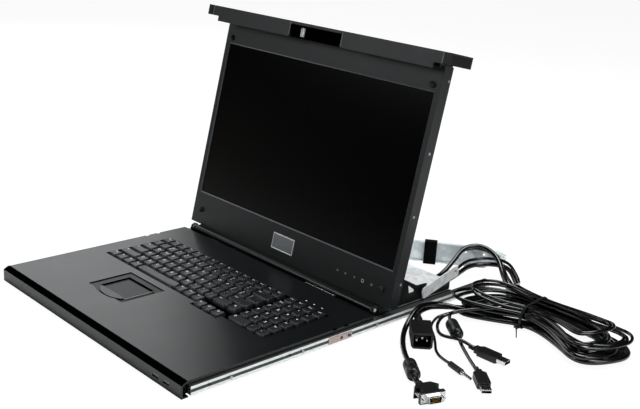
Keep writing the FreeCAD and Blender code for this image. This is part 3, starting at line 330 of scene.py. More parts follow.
def drawn_metal(name, colour, rough, line_mm, axis, metallic=1.0, stain=None):
    """Rolled or brushed metal: fine lines along one axis, with a faint stain where one is given."""
    tree = new_material(name)[1]
    place = add_node(tree, "ShaderNodeTexCoord").outputs["Object"]
    stretch = [1000 / line_mm] * 3
    stretch[axis] = 6.0
    lined = add_node(tree, "ShaderNodeMapping", Vector=place, Scale=stretch)
    lines = add_node(tree, "ShaderNodeTexNoise", Vector=lined.outputs[0], Scale=1.0, Detail=3.0)
    cloud = add_node(tree, "ShaderNodeTexNoise", Vector=place, Scale=14.0, Detail=4.0)
    base = linear(colour)
    other = linear(stain) if stain else scaled(base, 0.8)
    spread = add_node(tree, "ShaderNodeMapRange", Value=cloud.outputs["Fac"], n1=0.4, n2=0.7)
    shade = add_node(tree, "ShaderNodeMix", {"data_type": "RGBA"}, Factor=spread.outputs["Result"],
                     n6=base, n7=other)
    gloss = add_node(tree, "ShaderNodeMapRange", Value=lines.outputs["Fac"], n3=rough * 0.7, n4=rough * 1.4)
    rounded = add_node(tree, "ShaderNodeBevel", Radius=0.3 * MM)
    drawn = add_node(tree, "ShaderNodeBump", Strength=0.25, Distance=0.05 * MM,
                     Height=lines.outputs["Fac"], Normal=rounded.outputs["Normal"])
    shader = add_node(tree, "ShaderNodeBsdfPrincipled", Base_Color=shade.outputs[2], Metallic=metallic,
                      Roughness=gloss.outputs["Result"], Normal=drawn.outputs["Normal"])
    close_material(tree, shader)


def painted_highlight_lips(material, low, high):
    """Below one level and above another the face is painted near white and less metallic: a painted
    highlight on a rail's two lips."""
    tree = material.node_tree
    shader = next(node for node in tree.nodes if node.type == "BSDF_PRINCIPLED")
    parts = add_node(tree, "ShaderNodeSeparateXYZ",
                     Vector=add_node(tree, "ShaderNodeTexCoord").outputs["Object"])
    middle = add_node(tree, "ShaderNodeMath", {"operation": "SUBTRACT"}, n0=parts.outputs["Z"],
                      n1=(low + high) / 2)
    off = add_node(tree, "ShaderNodeMath", {"operation": "ABSOLUTE"}, n0=middle.outputs[0])
    share = add_node(tree, "ShaderNodeMapRange", Value=off.outputs[0], n1=(high - low) / 2 - 0.4 * MM,
                     n2=(high - low) / 2 + 0.3 * MM)
    bare = add_node(tree, "ShaderNodeMix", {"data_type": "RGBA"}, Factor=share.outputs["Result"],
                    n6=shader.inputs["Base Color"].links[0].from_socket, n7=linear("#F6F8F8"))
    tree.links.new(bare.outputs[2], shader.inputs["Base Color"])
    dull = add_node(tree, "ShaderNodeMapRange", Value=share.outputs["Result"], n3=0.8, n4=0.15)
    tree.links.new(dull.outputs["Result"], shader.inputs["Metallic"])


def switched_off_panel(name):
    """A dark liquid-crystal panel: near black, with a faint warm painted sheen towards its lower left."""
    tree = new_material(name)[1]
    place = add_node(tree, "ShaderNodeTexCoord").outputs["Object"]
    parts = add_node(tree, "ShaderNodeSeparateXYZ", Vector=place)
    across = add_node(tree, "ShaderNodeMapRange", Value=parts.outputs["X"], n1=0.21, n2=-0.21)
    down = add_node(tree, "ShaderNodeMapRange", Value=parts.outputs["Z"], n1=0.31, n2=0.06)
    both = add_node(tree, "ShaderNodeMath", {"operation": "MULTIPLY"}, n0=across.outputs["Result"],
                    n1=down.outputs["Result"])
    # painted sheen: lighter and warmer towards the lower left
    shade = add_node(tree, "ShaderNodeMix", {"data_type": "RGBA"}, Factor=both.outputs[0],
                     n6=linear("#040404"), n7=linear("#1C1A18"))
    grit = add_node(tree, "ShaderNodeTexNoise", Vector=place, Scale=900.0, Detail=1.0)
    gloss = add_node(tree, "ShaderNodeMapRange", Value=grit.outputs["Fac"], n3=0.16, n4=0.24)
    shader = add_node(tree, "ShaderNodeBsdfPrincipled", Base_Color=shade.outputs[2],
                      Roughness=gloss.outputs["Result"])
    shader.inputs["Specular IOR Level"].default_value = 0.07
    close_material(tree, shader)


def hooked_tape(name):
    """Hook-and-loop tape: rows of loops 1.2 mm apart with a soft pile."""
    tree = new_material(name)[1]
    place = add_node(tree, "ShaderNodeTexCoord").outputs["Object"]
    loops = add_node(tree, "ShaderNodeTexVoronoi", Vector=place, Scale=1000 / 1.2)
    pile = add_node(tree, "ShaderNodeTexNoise", Vector=place, Scale=500.0, Detail=3.0)
    shade = add_node(tree, "ShaderNodeMix", {"data_type": "RGBA"}, Factor=pile.outputs["Fac"],
                     n6=linear("#020202"), n7=linear("#060606"))
    rise = add_node(tree, "ShaderNodeBump", Strength=0.8, Distance=0.5 * MM,
                    Height=loops.outputs["Distance"])
    shader = add_node(tree, "ShaderNodeBsdfPrincipled", Base_Color=shade.outputs[2], Roughness=0.9,
                      Normal=rise.outputs["Normal"])
    shader.inputs["Specular IOR Level"].default_value = 0.1
    close_material(tree, shader)


def build_materials(colours):
    """Every finish of the console, from what the real one is made of, and the painted highlights and painted
    shade.
    """
    coated("powder_coated_steel", colours.coat, 0.29, 0.6, 0.08, mirror=0.42)
    coated("textured_display_shell", colours.moulded, 0.42, 0.8, 0.12, mirror=0.4)
    coated("black_abs", "#060606", 0.4, 0.9, 0.15, mirror=0.25)
    coated("abs_keycap", colours.keycap, 0.36, 0.5, 0.08, edge_mm=0.15)
    coated("touchpad_film", "#353738", 0.5, 0.3, 0.05, mirror=0.25)
    coated("pvc_sheath", colours.sheath, 0.22, 1.4, 0.1, edge_mm=0.1, coat=0.6, mottle=0.4, mirror=0.3)
    coated("plug_moulding", "#0B0B0C", 0.36, 0.7, 0.15, edge_mm=0.9, mirror=0.4)
    coated("nylon_tie", "#101010", 0.35, 0.8, 0.1, edge_mm=0.2)
    coated("black_rubber", "#121212", 0.65, 0.6, 0.2)
    coated("printed_legend", colours.legend, 0.5, 0.3, 0.02, edge_mm=0.05, mottle=0.05)
    # pale grey: painted highlights on edges and chamfers that catch the light, and the USB sockets' grey
    coated("worn_edge", "#5C6064", 0.35, 0.6, 0.05, edge_mm=0.1)
    # near black: the real black of the video insert, the audio bands and the latch plate, and painted shade
    # in recesses, openings and gaps
    coated("blackened_recess", "#020202", 0.5, 0.6, 0.05, edge_mm=0.1, mirror=0.0)
    galvanised_steel("galvanised_steel", colours.steel)
    # a lighter galvanised: the bare strip's own finish, and a painted highlight on the cover's top
    galvanised_steel("bright_galvanised_and_lit_top", "#F4F6F8")
    drawn_metal("zinc_plated_rail", colours.zinc, 0.3, 0.5, 1, stain="#8E978F")
    # the rails' upright faces: a dark green-grey for painted shade, with painted highlights on their two lips
    drawn_metal("painted_shade_rail_face", "#4B5550", 0.42, 0.5, 1, metallic=0.8, stain="#39423D")
    painted_highlight_lips(bpy.data.materials["painted_shade_rail_face"], 6.6 * MM, 10.8 * MM)
    drawn_metal("passivated_strip", "#C8B2AC", 0.34, 0.5, 1, stain="#A89490")
    drawn_metal("polished_bar", "#FAFAFA", 0.3, 0.6, 2, metallic=0.2)
    drawn_metal("nickel_plate", "#D9D9D6", 0.16, 0.6, 2)
    drawn_metal("brushed_aluminium_badge", "#8A8D91", 0.3, 0.3, 0, metallic=0.6)
    drawn_metal("gold_contact", "#D6B25A", 0.22, 0.4, 1)
    switched_off_panel("switched_off_panel")
    hooked_tape("hook_and_loop_tape")


CAD_FINISH = {
    "zinc_plated_rail": ("outer_rails", "middle_rails", "inner_rails"),
    "galvanised_steel": ("arm_bracket", "arm_link_inner", "arm_link_outer", "electronics_cover"),
    "powder_coated_steel": ("base_pan", "deck_plate", "front_bar", "cable_post", "hinge_brackets",
                            "bezel_channel", "hinge_barrel"),
    "textured_display_shell": ("display_bezel", "display_rear_cover", "front_bezel"),
    "black_abs": ("bezel_end_caps", "touchpad_frame"),
    # the latch housing and the tray under the keycaps: painted shade
    "blackened_recess": ("latch_housing", "keyboard_tray"),
    "abs_keycap": ("key_row_function", "key_row_number", "key_row_upper", "key_row_home",
                   "key_row_shift", "key_row_bottom", "space_bar",
                   "touchpad_button_left", "touchpad_button_right"),
    "touchpad_film": ("touchpad_surface",),
    "switched_off_panel": ("screen_panel",),
    "nickel_plate": ("arm_root_pin", "connector_shells", "latch_slide"),
    # the USB sockets take this pale grey too
    "worn_edge": ("usb_sockets",),
    "polished_bar": ("hinge_pins",),
    "passivated_strip": ("rail_lever_right", "rail_lever_left"),
    "brushed_aluminium_badge": ("badge_plate",),
    "black_rubber": ("bumpers", "cable_glands"),
    "pvc_sheath": ("cable_hank", "video_feed", "power_feed", "power_tail", "video_tail",
                   "video_tail_end", "usb_tail_a", "usb_tail_a_end", "usb_tail_b", "audio_tail"),
    "nylon_tie": ("cable_ties",),
    "hook_and_loop_tape": ("arm_strap",),
    "plug_moulding": ("ferrites", "video_plug", "power_plug", "usb_plug_a", "usb_plug_b",
                      "audio_plug"),
}


# ---- keys ----------------------------------------------------------------------------------

def key_run(first, words, widths=()):
    """Keys side by side from first on, one pitch wide unless a width is given, none set forward."""
    out = []
    at = first
    for i, word in enumerate(words):
        wide = dict(widths).get(i, 1)
        out.append((at, wide, word, 0.0))
        at += wide
    return out


# Each row: its place from the back, and its keys as (left edge in pitches, 100 and over on the
# number block, width in pitches, legend, how far it is set forward).
KEY_ROWS = {
    "key_row_function": (0, key_run(0, "Esc F1 F2 F3 F4 F5 F6 F7 F8 F9 F10 F11 F12 Ins Del".split())
                         + key_run(100, ("Home", "End", "PgUp", "PgDn"))),
    "key_row_number": (1, key_run(0, [*"`1234567890-=", "Bksp"], [(13, 2)]) + key_run(100, ("Num", *"/*-"))),
    "key_row_upper": (2, key_run(0, ("Tab", *"QWERTYUIOP[]\\"), [(0, 1.5), (13, 1.5)])
                      + key_run(100, "789+")),
    "key_row_home": (3, key_run(0, ("Caps", *"ASDFGHJKL;'", "Enter"), [(0, 1.75), (12, 2.25)])
                     + key_run(100, "456=")),
    "key_row_shift": (4, key_run(0, ("Shift", *"ZXCVBNM,./", "Shift", "\u2191"), [(0, 2.25), (11, 1.75)])
                      + key_run(100, ("1", "2", "3", "Ent"))),
    "key_row_bottom": (5, key_run(0, ("Ctrl", "Fn", "Menu", "Alt")) + key_run(9, ("Alt", "Menu", "Ctrl"))
                       + key_run(100, "0.,", [(0, 2)])
                       + [(12, 1, "\u2190", 9.0), (13, 1, "\u2193", 9.0), (14, 1, "\u2192", 9.0)]),
    "space_bar": (5, [(4, 5, "", 0.0)]),
}
SHIFTED = dict(zip("`1234567890-=[];',./\\", '~!@#$%^&*()_+{}:"<>?|'))
BLOCK_LEFT = (-176.0, 101.0)
KEYS_BACK = 100.6
ROW_DEEP = 18.683
KEY_FOOT = 16.2
KEY_TOP = 22.0


def keycaps(size):
    """Every keycap as rings of a superellipse |x/a|^n + |y/b|^n = 1: foot, shoulder, edge, and a hollow
    z = top - dish (1 - (x/a)^2) across its finger face; the front of a cap leans more than its back."""
    pitch = size.key_pitch / MM
    gap = size.key_gap / MM
    dish = size.key_dish / MM
    angle = np.linspace(0, 2 * math.pi, 28, endpoint=False)
    ring_x = np.sign(np.cos(angle)) * np.abs(np.cos(angle)) ** 0.22
    ring_y = np.sign(np.sin(angle)) * np.abs(np.sin(angle)) ** 0.22
    # inset at the sides, the back and the front, level under the top, and how hollow
    rings = ((0.5, 0.5, 0.5, KEY_TOP - KEY_FOOT, 0), (0.7, 0.7, 0.8, 4.4, 0), (1.7, 1.3, 2.2, 0.75, 0),
             (2.0, 1.6, 2.6, 0.2, 0), (2.4, 1.9, 3.1, 0.0, 0), (3.0, 2.4, 3.7, 0.06, 1))
    out = {}
    for name, (row, keys) in KEY_ROWS.items():
        parts = []
        words = []
        for at, wide, word, drop in keys:
            left = BLOCK_LEFT[at >= 100] + pitch * (at % 100) + gap / 2
            right = left + pitch * wide - gap
            back = KEYS_BACK - ROW_DEEP * row - gap / 2 - drop
            front = back - ROW_DEEP + gap
            middle = (left + right) / 2
            half = (right - left) / 2
            loops = []
            for side, rear, fore, down, hollow in rings:
                x = ring_x * (half - side)
                y = (back - rear + front + fore) / 2 + ring_y * (back - rear - front - fore) / 2
                z = KEY_TOP - down - hollow * dish * (1 - np.clip(x / (half - side), -1, 1) ** 2)
                loops.append(np.column_stack([middle + x, y, z]))
            flat = loops[-1].copy()
            flat[:, 0] = middle + (flat[:, 0] - middle) * 0.4
            flat[:, 2] = KEY_TOP - 0.06 - dish * 0.92
            loops.append(flat)
            parts.append(tower(loops))
            for text, x, y, high in legend_marks(word, left + 3.3, back - 3.0, at < 100):
                points, faces = lettering(text, high)
                points = points * np.array([1, 1, 0]) + np.array([x, y - high * 0.73, 0.0])
                reach = np.clip((points[:, 0] - middle) / (half - 3.1), -1, 1)
                points[:, 2] = KEY_TOP - dish * (1 - reach ** 2)
                words.append((points * MM, faces))
        points, faces = joined(parts)
        out[name] = (points * MM, faces, words)
    return out


def legend_marks(word, x, y, paired):
    """The marks of one keycap as (text, x, y of its top, height): a pair of signs is stacked."""
    if paired and word in SHIFTED:
        return [(SHIFTED[word], x, y, 4.2), (word, x, y - 5.2, 4.2)]
    if len(word) == 1:
        return [(word, x, y, 6.0)]
    return [(word, x, y, 3.6 if len(word) < 4 else 3.0)] if word else []


class CONSOLE_OT_keyboard(bpy.types.Operator):
    """Put the keycaps on their rows, each with its legend."""
    bl_idname = "console.keyboard"
    bl_label = "Keyboard"

    def execute(self, context):
        for name, (points, faces, words) in keycaps(context.scene.console_sizes).items():
            caps = piece(name + "_caps", points, faces, name, "abs_keycap", replaces=(name,))
            caps.data.set_sharp_from_angle(angle=math.radians(50))
            if words:
                piece(name + "_legends", *joined(words), name, "printed_legend", smooth=False)
        return {"FINISHED"}


# ---- deck ----------------------------------------------------------------------------------

class CONSOLE_OT_deck(bpy.types.Operator):
    """Fit the deck's small parts: touchpad surround in painted shade, painted highlights on the touchpad's
    edges, lamps, rear trim and rail screws.
    """
    bl_idname = "console.deck"
    bl_label = "Deck parts"

    def execute(self, context):
        left, right, front, back, top = -77.0, -20.5, -80.1, -37.5, 19.83
        # a dark strip along the touchpad's left and back: painted shade
        surround = [block(left - 2.6, left, front, back + 2.6, top - 1.0, top),
                    block(left, right, back, back + 2.6, top - 1.0, top)]
        piece("touchpad_surround", *put(joined(surround)), "drawer", "blackened_recess",
              smooth=False)
        # pale strips along its front and right edges: painted highlights
        bright = [block(left - 0.2, right + 1.4, front - 0.7, front, top - 0.6, top + 0.05),
                  block(right, right + 1.2, front, back + 1.0, top - 0.6, top + 0.05)]
        piece("touchpad_edge", *put(joined(bright)), "drawer", "worn_edge", smooth=False)
        trim = block(72, 130, 152.9, 153.9, 19.6, 20.1)
        piece("rear_trim", *put(trim), "drawer", "nickel_plate", smooth=False)
        lamps = [slab(rounded(3.0, 1.5, 0.4) + np.array([x, 110.0]), 19.7, 19.86) for x in (121, 136, 151)]
        piece("lamp_marks", *put(joined(lamps)), "drawer", "printed_legend", smooth=False)
        heads = [screw_head((side * 213.9, y, 8.8), (side, 0, 0), 2.2, 0.5)
                 for y in (-90, 20, 150, 270, 350) for side in (1, -1)]
        piece("rail_screws", *put(joined(heads)), "rails", "zinc_plated_rail")
        return {"FINISHED"}


# ---- display -------------------------------------------------------------------------------

class CONSOLE_OT_display(bpy.types.Operator):
    """Fit the display's small parts: bumpers, side screws, badge rim, bare switch marks, latch bars."""
    bl_idname = "console.display"
    bl_label = "Display parts"

    def execute(self, context):
        outward = on_display((0, 1, 0))[0] - on_display((0, 0, 0))[0]
        domes = []
        for x, up in ((196, 22), (-196, 22), (202, 295), (-202, 295)):
            profile = np.array([(0, 4), (2.6, 4), (3.8, 3.4), (4.5, 2.2), (4.8, 0.6)]) * MM
            domes.append(lathe(profile, on_display((x, 0, up))[0], outward, 24))
        piece("bumper_domes", *joined(domes), "display", "black_rubber", replaces=("bumpers",))
        marks = []
        for i, x in enumerate((113.2, 128.9, 145.5, 161.0, 177.7)):
            wide = (2.6, 2.8, 2.4, 4.4, 3.0)[i]
            ring = rounded(wide, wide, 0.8 if i == 3 else wide * 0.49)
            places = np.concatenate([upright(ring, x, 0.05, 21.6), upright(ring * 0.72, x, 0.05, 21.6)])
            marks.append((on_display(places), grid_faces(2, len(ring), closed=True).tolist()))
        piece("switch_marks", *joined(marks), "display", "printed_legend", smooth=False)
        heads = []
        for up, depth in ((303, -13.8), (208.7, -8.9), (125, -7.2), (33.6, -12.5)):
            for side in (1, -1):
                heads.append(screw_head(on_display((side * 215.5, depth, up))[0], (side, 0, 0),
                                        2.0 * MM, 0.4 * MM))
        piece("side_screws", *joined(heads), "display", "zinc_plated_rail")
        # the moulded ends of the top bezel, each with a pale strip on its corner, and the two pale window
        # edges: painted highlights
        ends = [block(side * 235.1 - 6.1, side * 235.1 + 6.1, 24.55, 24.8, 322.8, 337.6) for side in (1, -1)]
        piece("bezel_end_faces", *fitted(ends), "display", "black_abs", smooth=False)
        edge_highlights = [block(x, x + wide, 24.55, 24.85, low, high) for x, wide, low, high in (
            (227.4, 1.6, 322.8, 337.6), (-229.0, 1.6, 322.8, 337.6), (-53.0, 1.3, 317.5, 336.0),
            (51.8, 1.6, 317.5, 336.0))]
        piece("bezel_seams", *fitted(edge_highlights), "display", "worn_edge", smooth=False)
        # the latch's slide: a black plate with two bright bars
        low, high = 318.3, 330.7
        piece("latch_plate", *fitted([block(-31, -22, 18.1, 19.3, low, high)]), "latch", "blackened_recess",
              smooth=False, replaces=("latch_slide",))
        bars = [block(x, x + wide, 18.5, 22.1, low, high) for x, wide in ((-30.9, 0.9), (-27.6, 2.3))]
        piece("latch_bars", *fitted(bars), "latch", "polished_bar", smooth=False,
              replaces=("latch_slide",))
        rim = [upright(outline, -1.0, n, 24.1) for outline, n in (
            (rounded(45.0, 23.6, 0.6), 0.0), (rounded(45.0, 23.6, 0.6), 0.7), (rounded(43.4, 22.0, 0.4), 1.1),
            (rounded(42.2, 20.4, 0.3), 0.7), (rounded(41.8, 20.0, 0.3), 0.65))]
        piece("badge_rim", *fitted([tower(rim)]), "display", "polished_bar", smooth=False,
              replaces=("badge_plate",))
        piece("badge_face", *fitted([block(-21.8, 19.8, 0.6, 0.85, 14.2, 34.0)]), "display",
              "brushed_aluminium_badge", smooth=False)
        return {"FINISHED"}


# ---- plugs ---------------------------------------------------------------------------------

def facing(part):
    """A plate drawn flat, stood up to face along x: its own x, y become y, z and its level x."""
    points, faces = part
    return np.asarray(points, float)[:, [2, 0, 1]], faces


def ribbed(start, finish, thick, thin, ribs):
    """A tapered sleeve along x with rings standing off it, each as wide as the gap after it."""
    at = np.linspace(start, finish, 4 * ribs + 1)
    body = thick + (thin - thick) * (at - start) / (finish - start)
    profile = np.column_stack([at, body + 0.45 * (np.arange(len(at)) % 4 < 2)])
    return lathe(profile, *ABOUT_X, 24)


# origin in millimetres and turn about z
VIDEO_PLUG = ((382.5, 63.5, 7.0), -20.8)
POWER_PLUG = ((251.8, 189.4, 11.0), -44.3)
USB_PLUGS = {"usb_plug_a": ((372, 158.5, 5.2), -40.0), "usb_plug_b": ((331, 205.8, 5.4), 1.6)}
AUDIO_PLUG = ((336, 150, 4.0), -15.0)
CORES = (((310.8, 103.5, 8.5), -37.8, 33.0), ((268, 234.5, 9.0), -37.6, 36.6))


class CONSOLE_OT_plugs(bpy.types.Operator):
    """Fit the plugs' contacts, inserts, sleeves and rings, and the rounded filter cores."""
    bl_idname = "console.plugs"
    bl_label = "Plugs"

    def execute(self, context):
        insert = facing(slab([(-7.8, 3.4), (7.8, 3.4), (6.7, -3.4), (-6.7, -3.4)], 1.5, 4.4))
        piece("video_insert", *put(insert, *VIDEO_PLUG), "drawer", "blackened_recess", smooth=False)
        pins = []
        for row, level in enumerate((2.0, 0.0, -2.0)):
            for i in range(5):
                across = (i - 2) * 2.3 + (0.6 if row == 1 else 0.0)
                pins.append(lathe([(4.3, 0.5), (6.0, 0.5), (6.3, 0.2)], (0, across, level), (1, 0, 0), 10))
        piece("video_pins", *put(joined(pins), *VIDEO_PLUG), "drawer", "gold_contact")
        blades = [block(26, 40.5, across - 0.9, across + 0.9, level - 1.2, level + 1.2)
                  for across, level in ((-6.6, -1.2), (0.0, 2.2), (6.6, -1.2))]
        piece("inlet_pins", *put(joined(blades), *POWER_PLUG), "drawer", "polished_bar", smooth=False)
        piece("power_relief", *put(joined([ribbed(-20, 1, 5.3, 5.3, 5), ribbed(-34, -20, 3.9, 5.2, 3)]),
                                   *POWER_PLUG), "drawer", "plug_moulding")
        sleeves = []
        tongues = []
        for place, turn in USB_PLUGS.values():
            sleeves.append(put(ribbed(0.3, 6.5, 3.4, 3.9, 2), place, turn))
            sleeves.append(put(ribbed(-9, 0.4, 2.5, 3.2, 2), place, turn))
            # the holes and mouth of each USB shell: dark slabs of painted shade
            holes = [block(40, 42.6, across - 1.3, across + 1.3, 2.2, 2.3) for across in (-2.7, 2.7)]
            mouth = block(48.2, 48.6, -5.2, 5.2, -1.7, 0.0)
            tongues.append(put(joined([*holes, mouth]), place, turn))
        piece("usb_sleeves", *joined(sleeves), "drawer", "plug_moulding")
        piece("usb_openings", *joined(tongues), "drawer", "blackened_recess", smooth=False)
        rings = [ribbed(0, 7, 3.0, 3.4, 2), lathe([(18, 3.7), (18.2, 3.9), (23.4, 3.9), (24, 3.6)], *ABOUT_X)]
        piece("audio_grip", *put(joined(rings), *AUDIO_PLUG), "drawer", "plug_moulding")
        bands = [lathe([(at, 1.7), (at, 1.85), (at + 0.6, 1.85), (at + 0.6, 1.7)], *ABOUT_X)
                 for at in (31.5, 35.5, 38.8)]
        piece("audio_bands", *put(joined(bands), *AUDIO_PLUG), "drawer", "blackened_recess")
        cores = []
        for place, turn, long in CORES:
            profile = [(-6, 3.6), (-1, 4.2), (0, 6.0), (0.5, 7.2), (2.0, 8.2), (4.0, 8.5), (long * 0.48, 8.5),
                       (long * 0.5, 8.2), (long * 0.52, 8.5), (long - 4, 8.5), (long - 2, 8.2),
                       (long - 0.5, 7.2), (long, 6.0), (long + 1, 4.2), (long + 6, 3.6)]
            cores.append(put(lathe(profile, *ABOUT_X, 40), place, turn))
        piece("filter_cores", *joined(cores), "drawer", "plug_moulding", replaces=("ferrites",))
        return {"FINISHED"}


# ---- leads ---------------------------------------------------------------------------------

# One turn of the tied hank, clockwise from the back left corner, and the line it closes on.
HANK_OUTER = np.array([
    (262, 364), (298, 369), (339, 371), (388, 373), (430, 369), (456, 360), (468, 338), (462, 308),
    (446, 283), (426, 275), (392, 293), (350, 314), (320, 312), (294, 294), (262, 277), (241, 271),
    (233, 292), (243, 334)], float)
HANK_SPINE = np.array([
    (285, 330), (310, 338), (340, 343), (388, 335), (420, 328), (436, 325), (440, 325), (438, 322),
    (434, 320), (425, 318), (392, 330), (350, 338), (322, 335), (300, 326), (280, 312), (270, 305),
    (266, 308), (272, 322)], float)


def hank_turns(first, last, turns, low, high, waves, near=(0, 0, 0), far=(0, 0, 0)):
    """Turns of the hank: point = spine + share (outer - spine), where share runs from first to
    last, and the level rides between low and high as waves sine waves a turn. Near and far shift
    its two ends, growing as the square of the distance from the tie."""
    count = int(turns * len(HANK_OUTER))
    i = np.arange(count)
    station = i % len(HANK_OUTER)
    share = first + (last - first) * i / max(1, count - 1)
    share = share + 0.035 * np.sin(i * 2.3 + waves)
    flat = HANK_SPINE[station] + share[:, None] * (HANK_OUTER[station] - HANK_SPINE[station])
    pull = np.clip((flat[:, :1] - 335) / 100, -1, 1.2)
    shift = pull ** 2 * np.where(pull < 0, near, far)
    flat = flat + shift[:, :2]
    level = (low + high) / 2 + (high - low) / 2 * np.sin(i * 2 * math.pi * waves / len(HANK_OUTER))
    level = level + shift[:, 2]
    return [(*flat[k], level[k]) for k in range(count)]


def lead(name, points_mm, diameter, replaced, length, plug):
    """A free lead: a NURBS line of order three through the route's own points as its controls."""
    curve = bpy.data.curves.new(name, "CURVE")
    curve.dimensions = "3D"
    spline = curve.splines.new("NURBS")
    spline.points.add(len(points_mm) - 1)
    where = np.ones((len(points_mm), 4))
    where[:, :3] = np.array(points_mm) * MM
    spline.points.foreach_set("co", where.ravel())
    spline.order_u = 3
    spline.use_endpoint_u = True
    spline.resolution_u = 6
    curve.bevel_depth = diameter / 2
    curve.bevel_resolution = 4
    curve.use_fill_caps = True
    made = bpy.data.objects.new(name, curve)
    bpy.context.scene.collection.objects.link(made)
    curve.materials.append(bpy.data.materials["pvc_sheath"])
    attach(made, "drawer")
    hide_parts(*replaced)


VIDEO_FEED = [(158, 321, 13), (158, 340, 13), (154, 373, 27), (147, 404, 42), (160, 431, 45),
              (190, 434, 36), (220, 411, 16.5), (244, 394, 11)]
POWER_FEED = [(172, 321, 11), (172, 340, 11), (166, 374, 13), (160, 408, 17), (176, 436, 18.5),
              (207, 440, 22), (231, 426, 12), (252, 406, 8)]
USB_A_FEED = [(158, 321, 7.4), (158, 340, 6.9), (150, 374, 20), (141, 405, 35), (154, 437, 38.5),
              (189, 441, 30), (222, 418, 15), (248, 399, 15)]
USB_B_FEED = [(172, 321, 17), (172, 340, 17), (164, 372, 20), (156, 404, 24.5), (170, 436, 26),
              (203, 444, 29), (232, 428, 19), (255, 404, 18)]
POWER_TAIL = [(224, 255, 13), (220.5, 233, 12.5), (224.6, 216.2, 11), (237.5, 203.4, 11)]
VIDEO_TAIL = [(231, 256, 18), (226.5, 238, 21), (226.5, 218, 23), (232, 196, 18), (242, 171, 7),
              (261, 147, 4.2), (285, 124, 5), (310.8, 103.5, 8.5), (336.9, 83.3, 8.5),
              (343.2, 78.4, 8), (350.7, 75.6, 7)]
USB_A_TAIL = [(249, 261, 13), (253, 247, 11), (268, 234.5, 9), (297, 212.2, 9), (312, 200.6, 6),
              (345, 178, 3), (372, 158.5, 5)]
USB_B_TAIL = [(243, 255.5, 8), (245, 238, 5), (256, 220, 3), (274, 204, 4), (293, 195, 10),
              (309, 198, 13), (321, 204.3, 8.5), (331, 205.8, 5.5)]
AUDIO_TAIL = [(236, 254, 5), (238, 236, 2.4), (250, 214, 2.1), (270, 198, 2.2), (286, 182, 2.1),
              (301, 165, 2.2), (318, 155, 2.5), (336, 150, 4)]


TIE_X = 324.3
TIE_WIDE = 3.6
TIE_THICK = 1.1
TAILS_BEFORE_Y = 245


def tie_band(across_x, wide, thick, leads):
    """A tie drawn tight round what passes its plane: with h(a) the greatest reach of the leads' skin
    in direction a of y, z, each corner is where two neighbouring lines p . d(a) = h(a) meet."""
    near = []
    graph = bpy.context.evaluated_depsgraph_get()
    for made in leads:
        held = made.evaluated_get(graph)
        mesh = held.to_mesh()
        points = np.empty(len(mesh.vertices) * 3)
        mesh.vertices.foreach_get("co", points)
        held.to_mesh_clear()
        points = points.reshape(-1, 3) / MM
        near.append(points[(np.abs(points[:, 0] - across_x) < 9) & (points[:, 1] > TAILS_BEFORE_Y)][:, 1:])
    near = np.concatenate(near)
    angle = np.linspace(0, 2 * math.pi, 72, endpoint=False)
    after = np.roll(angle, -1)
    way = np.column_stack([np.cos(angle), np.sin(angle)])
    reach = (near @ way.T).max(axis=0)
    loops = []
    for side, grow in ((-1, 0.1), (-1, thick), (1, thick), (1, 0.1)):
        h = reach + grow
        ahead = np.roll(h, -1)
        turn = np.sin(after - angle)
        y = (h * np.sin(after) - ahead * np.sin(angle)) / turn
        z = np.maximum((ahead * np.cos(angle) - h * np.cos(after)) / turn, 0.1 + 0.1 * (grow < thick))
        loops.append(np.column_stack([np.full(72, across_x + side * wide / 2), y, z]))
    rows = np.concatenate(loops + loops[:1])
    return rows, grid_faces(5, 72, closed=True).tolist(), loops[1]


class CONSOLE_OT_ties(bpy.types.Operator):
    """Draw the cable tie round the hank, with its head and cut tail."""
    bl_idname = "console.ties"
    bl_label = "Tie"

    def execute(self, context):
        leads = [o for o in bpy.data.objects if o.type == "CURVE"]
        rows, faces, edge = tie_band(TIE_X, TIE_WIDE, TIE_THICK, leads)
        parts = [(rows, faces)]
        front = edge[np.argmin(edge[:, 1])]
        head, head_faces = block(-3, 3, -4.2, 0.5, -2.5, 2.5)
        parts.append((head + front, head_faces))
        blade = np.array([(-1.2, 0, -0.5), (1.2, 0, -0.5), (1.2, 0, 0.5), (-1.2, 0, 0.5)])
        root = front + np.array([0, -3.5, 0])
        share = np.linspace(0, 1, 8)[:, None, None]
        level = np.array([15.0, -19.0, 1.5 - root[2]])
        bend = np.array([0, 0, 5.0]) * (share * (1 - share)) * 2
        parts.append(tower(list(root + share * level + bend + blade[None] * (1 - 0.3 * share))))
        points, faces = joined(parts)
        piece("drawn_tie", points * MM, faces, "drawer", "nylon_tie", smooth=False,
              replaces=("cable_ties",))
        return {"FINISHED"}


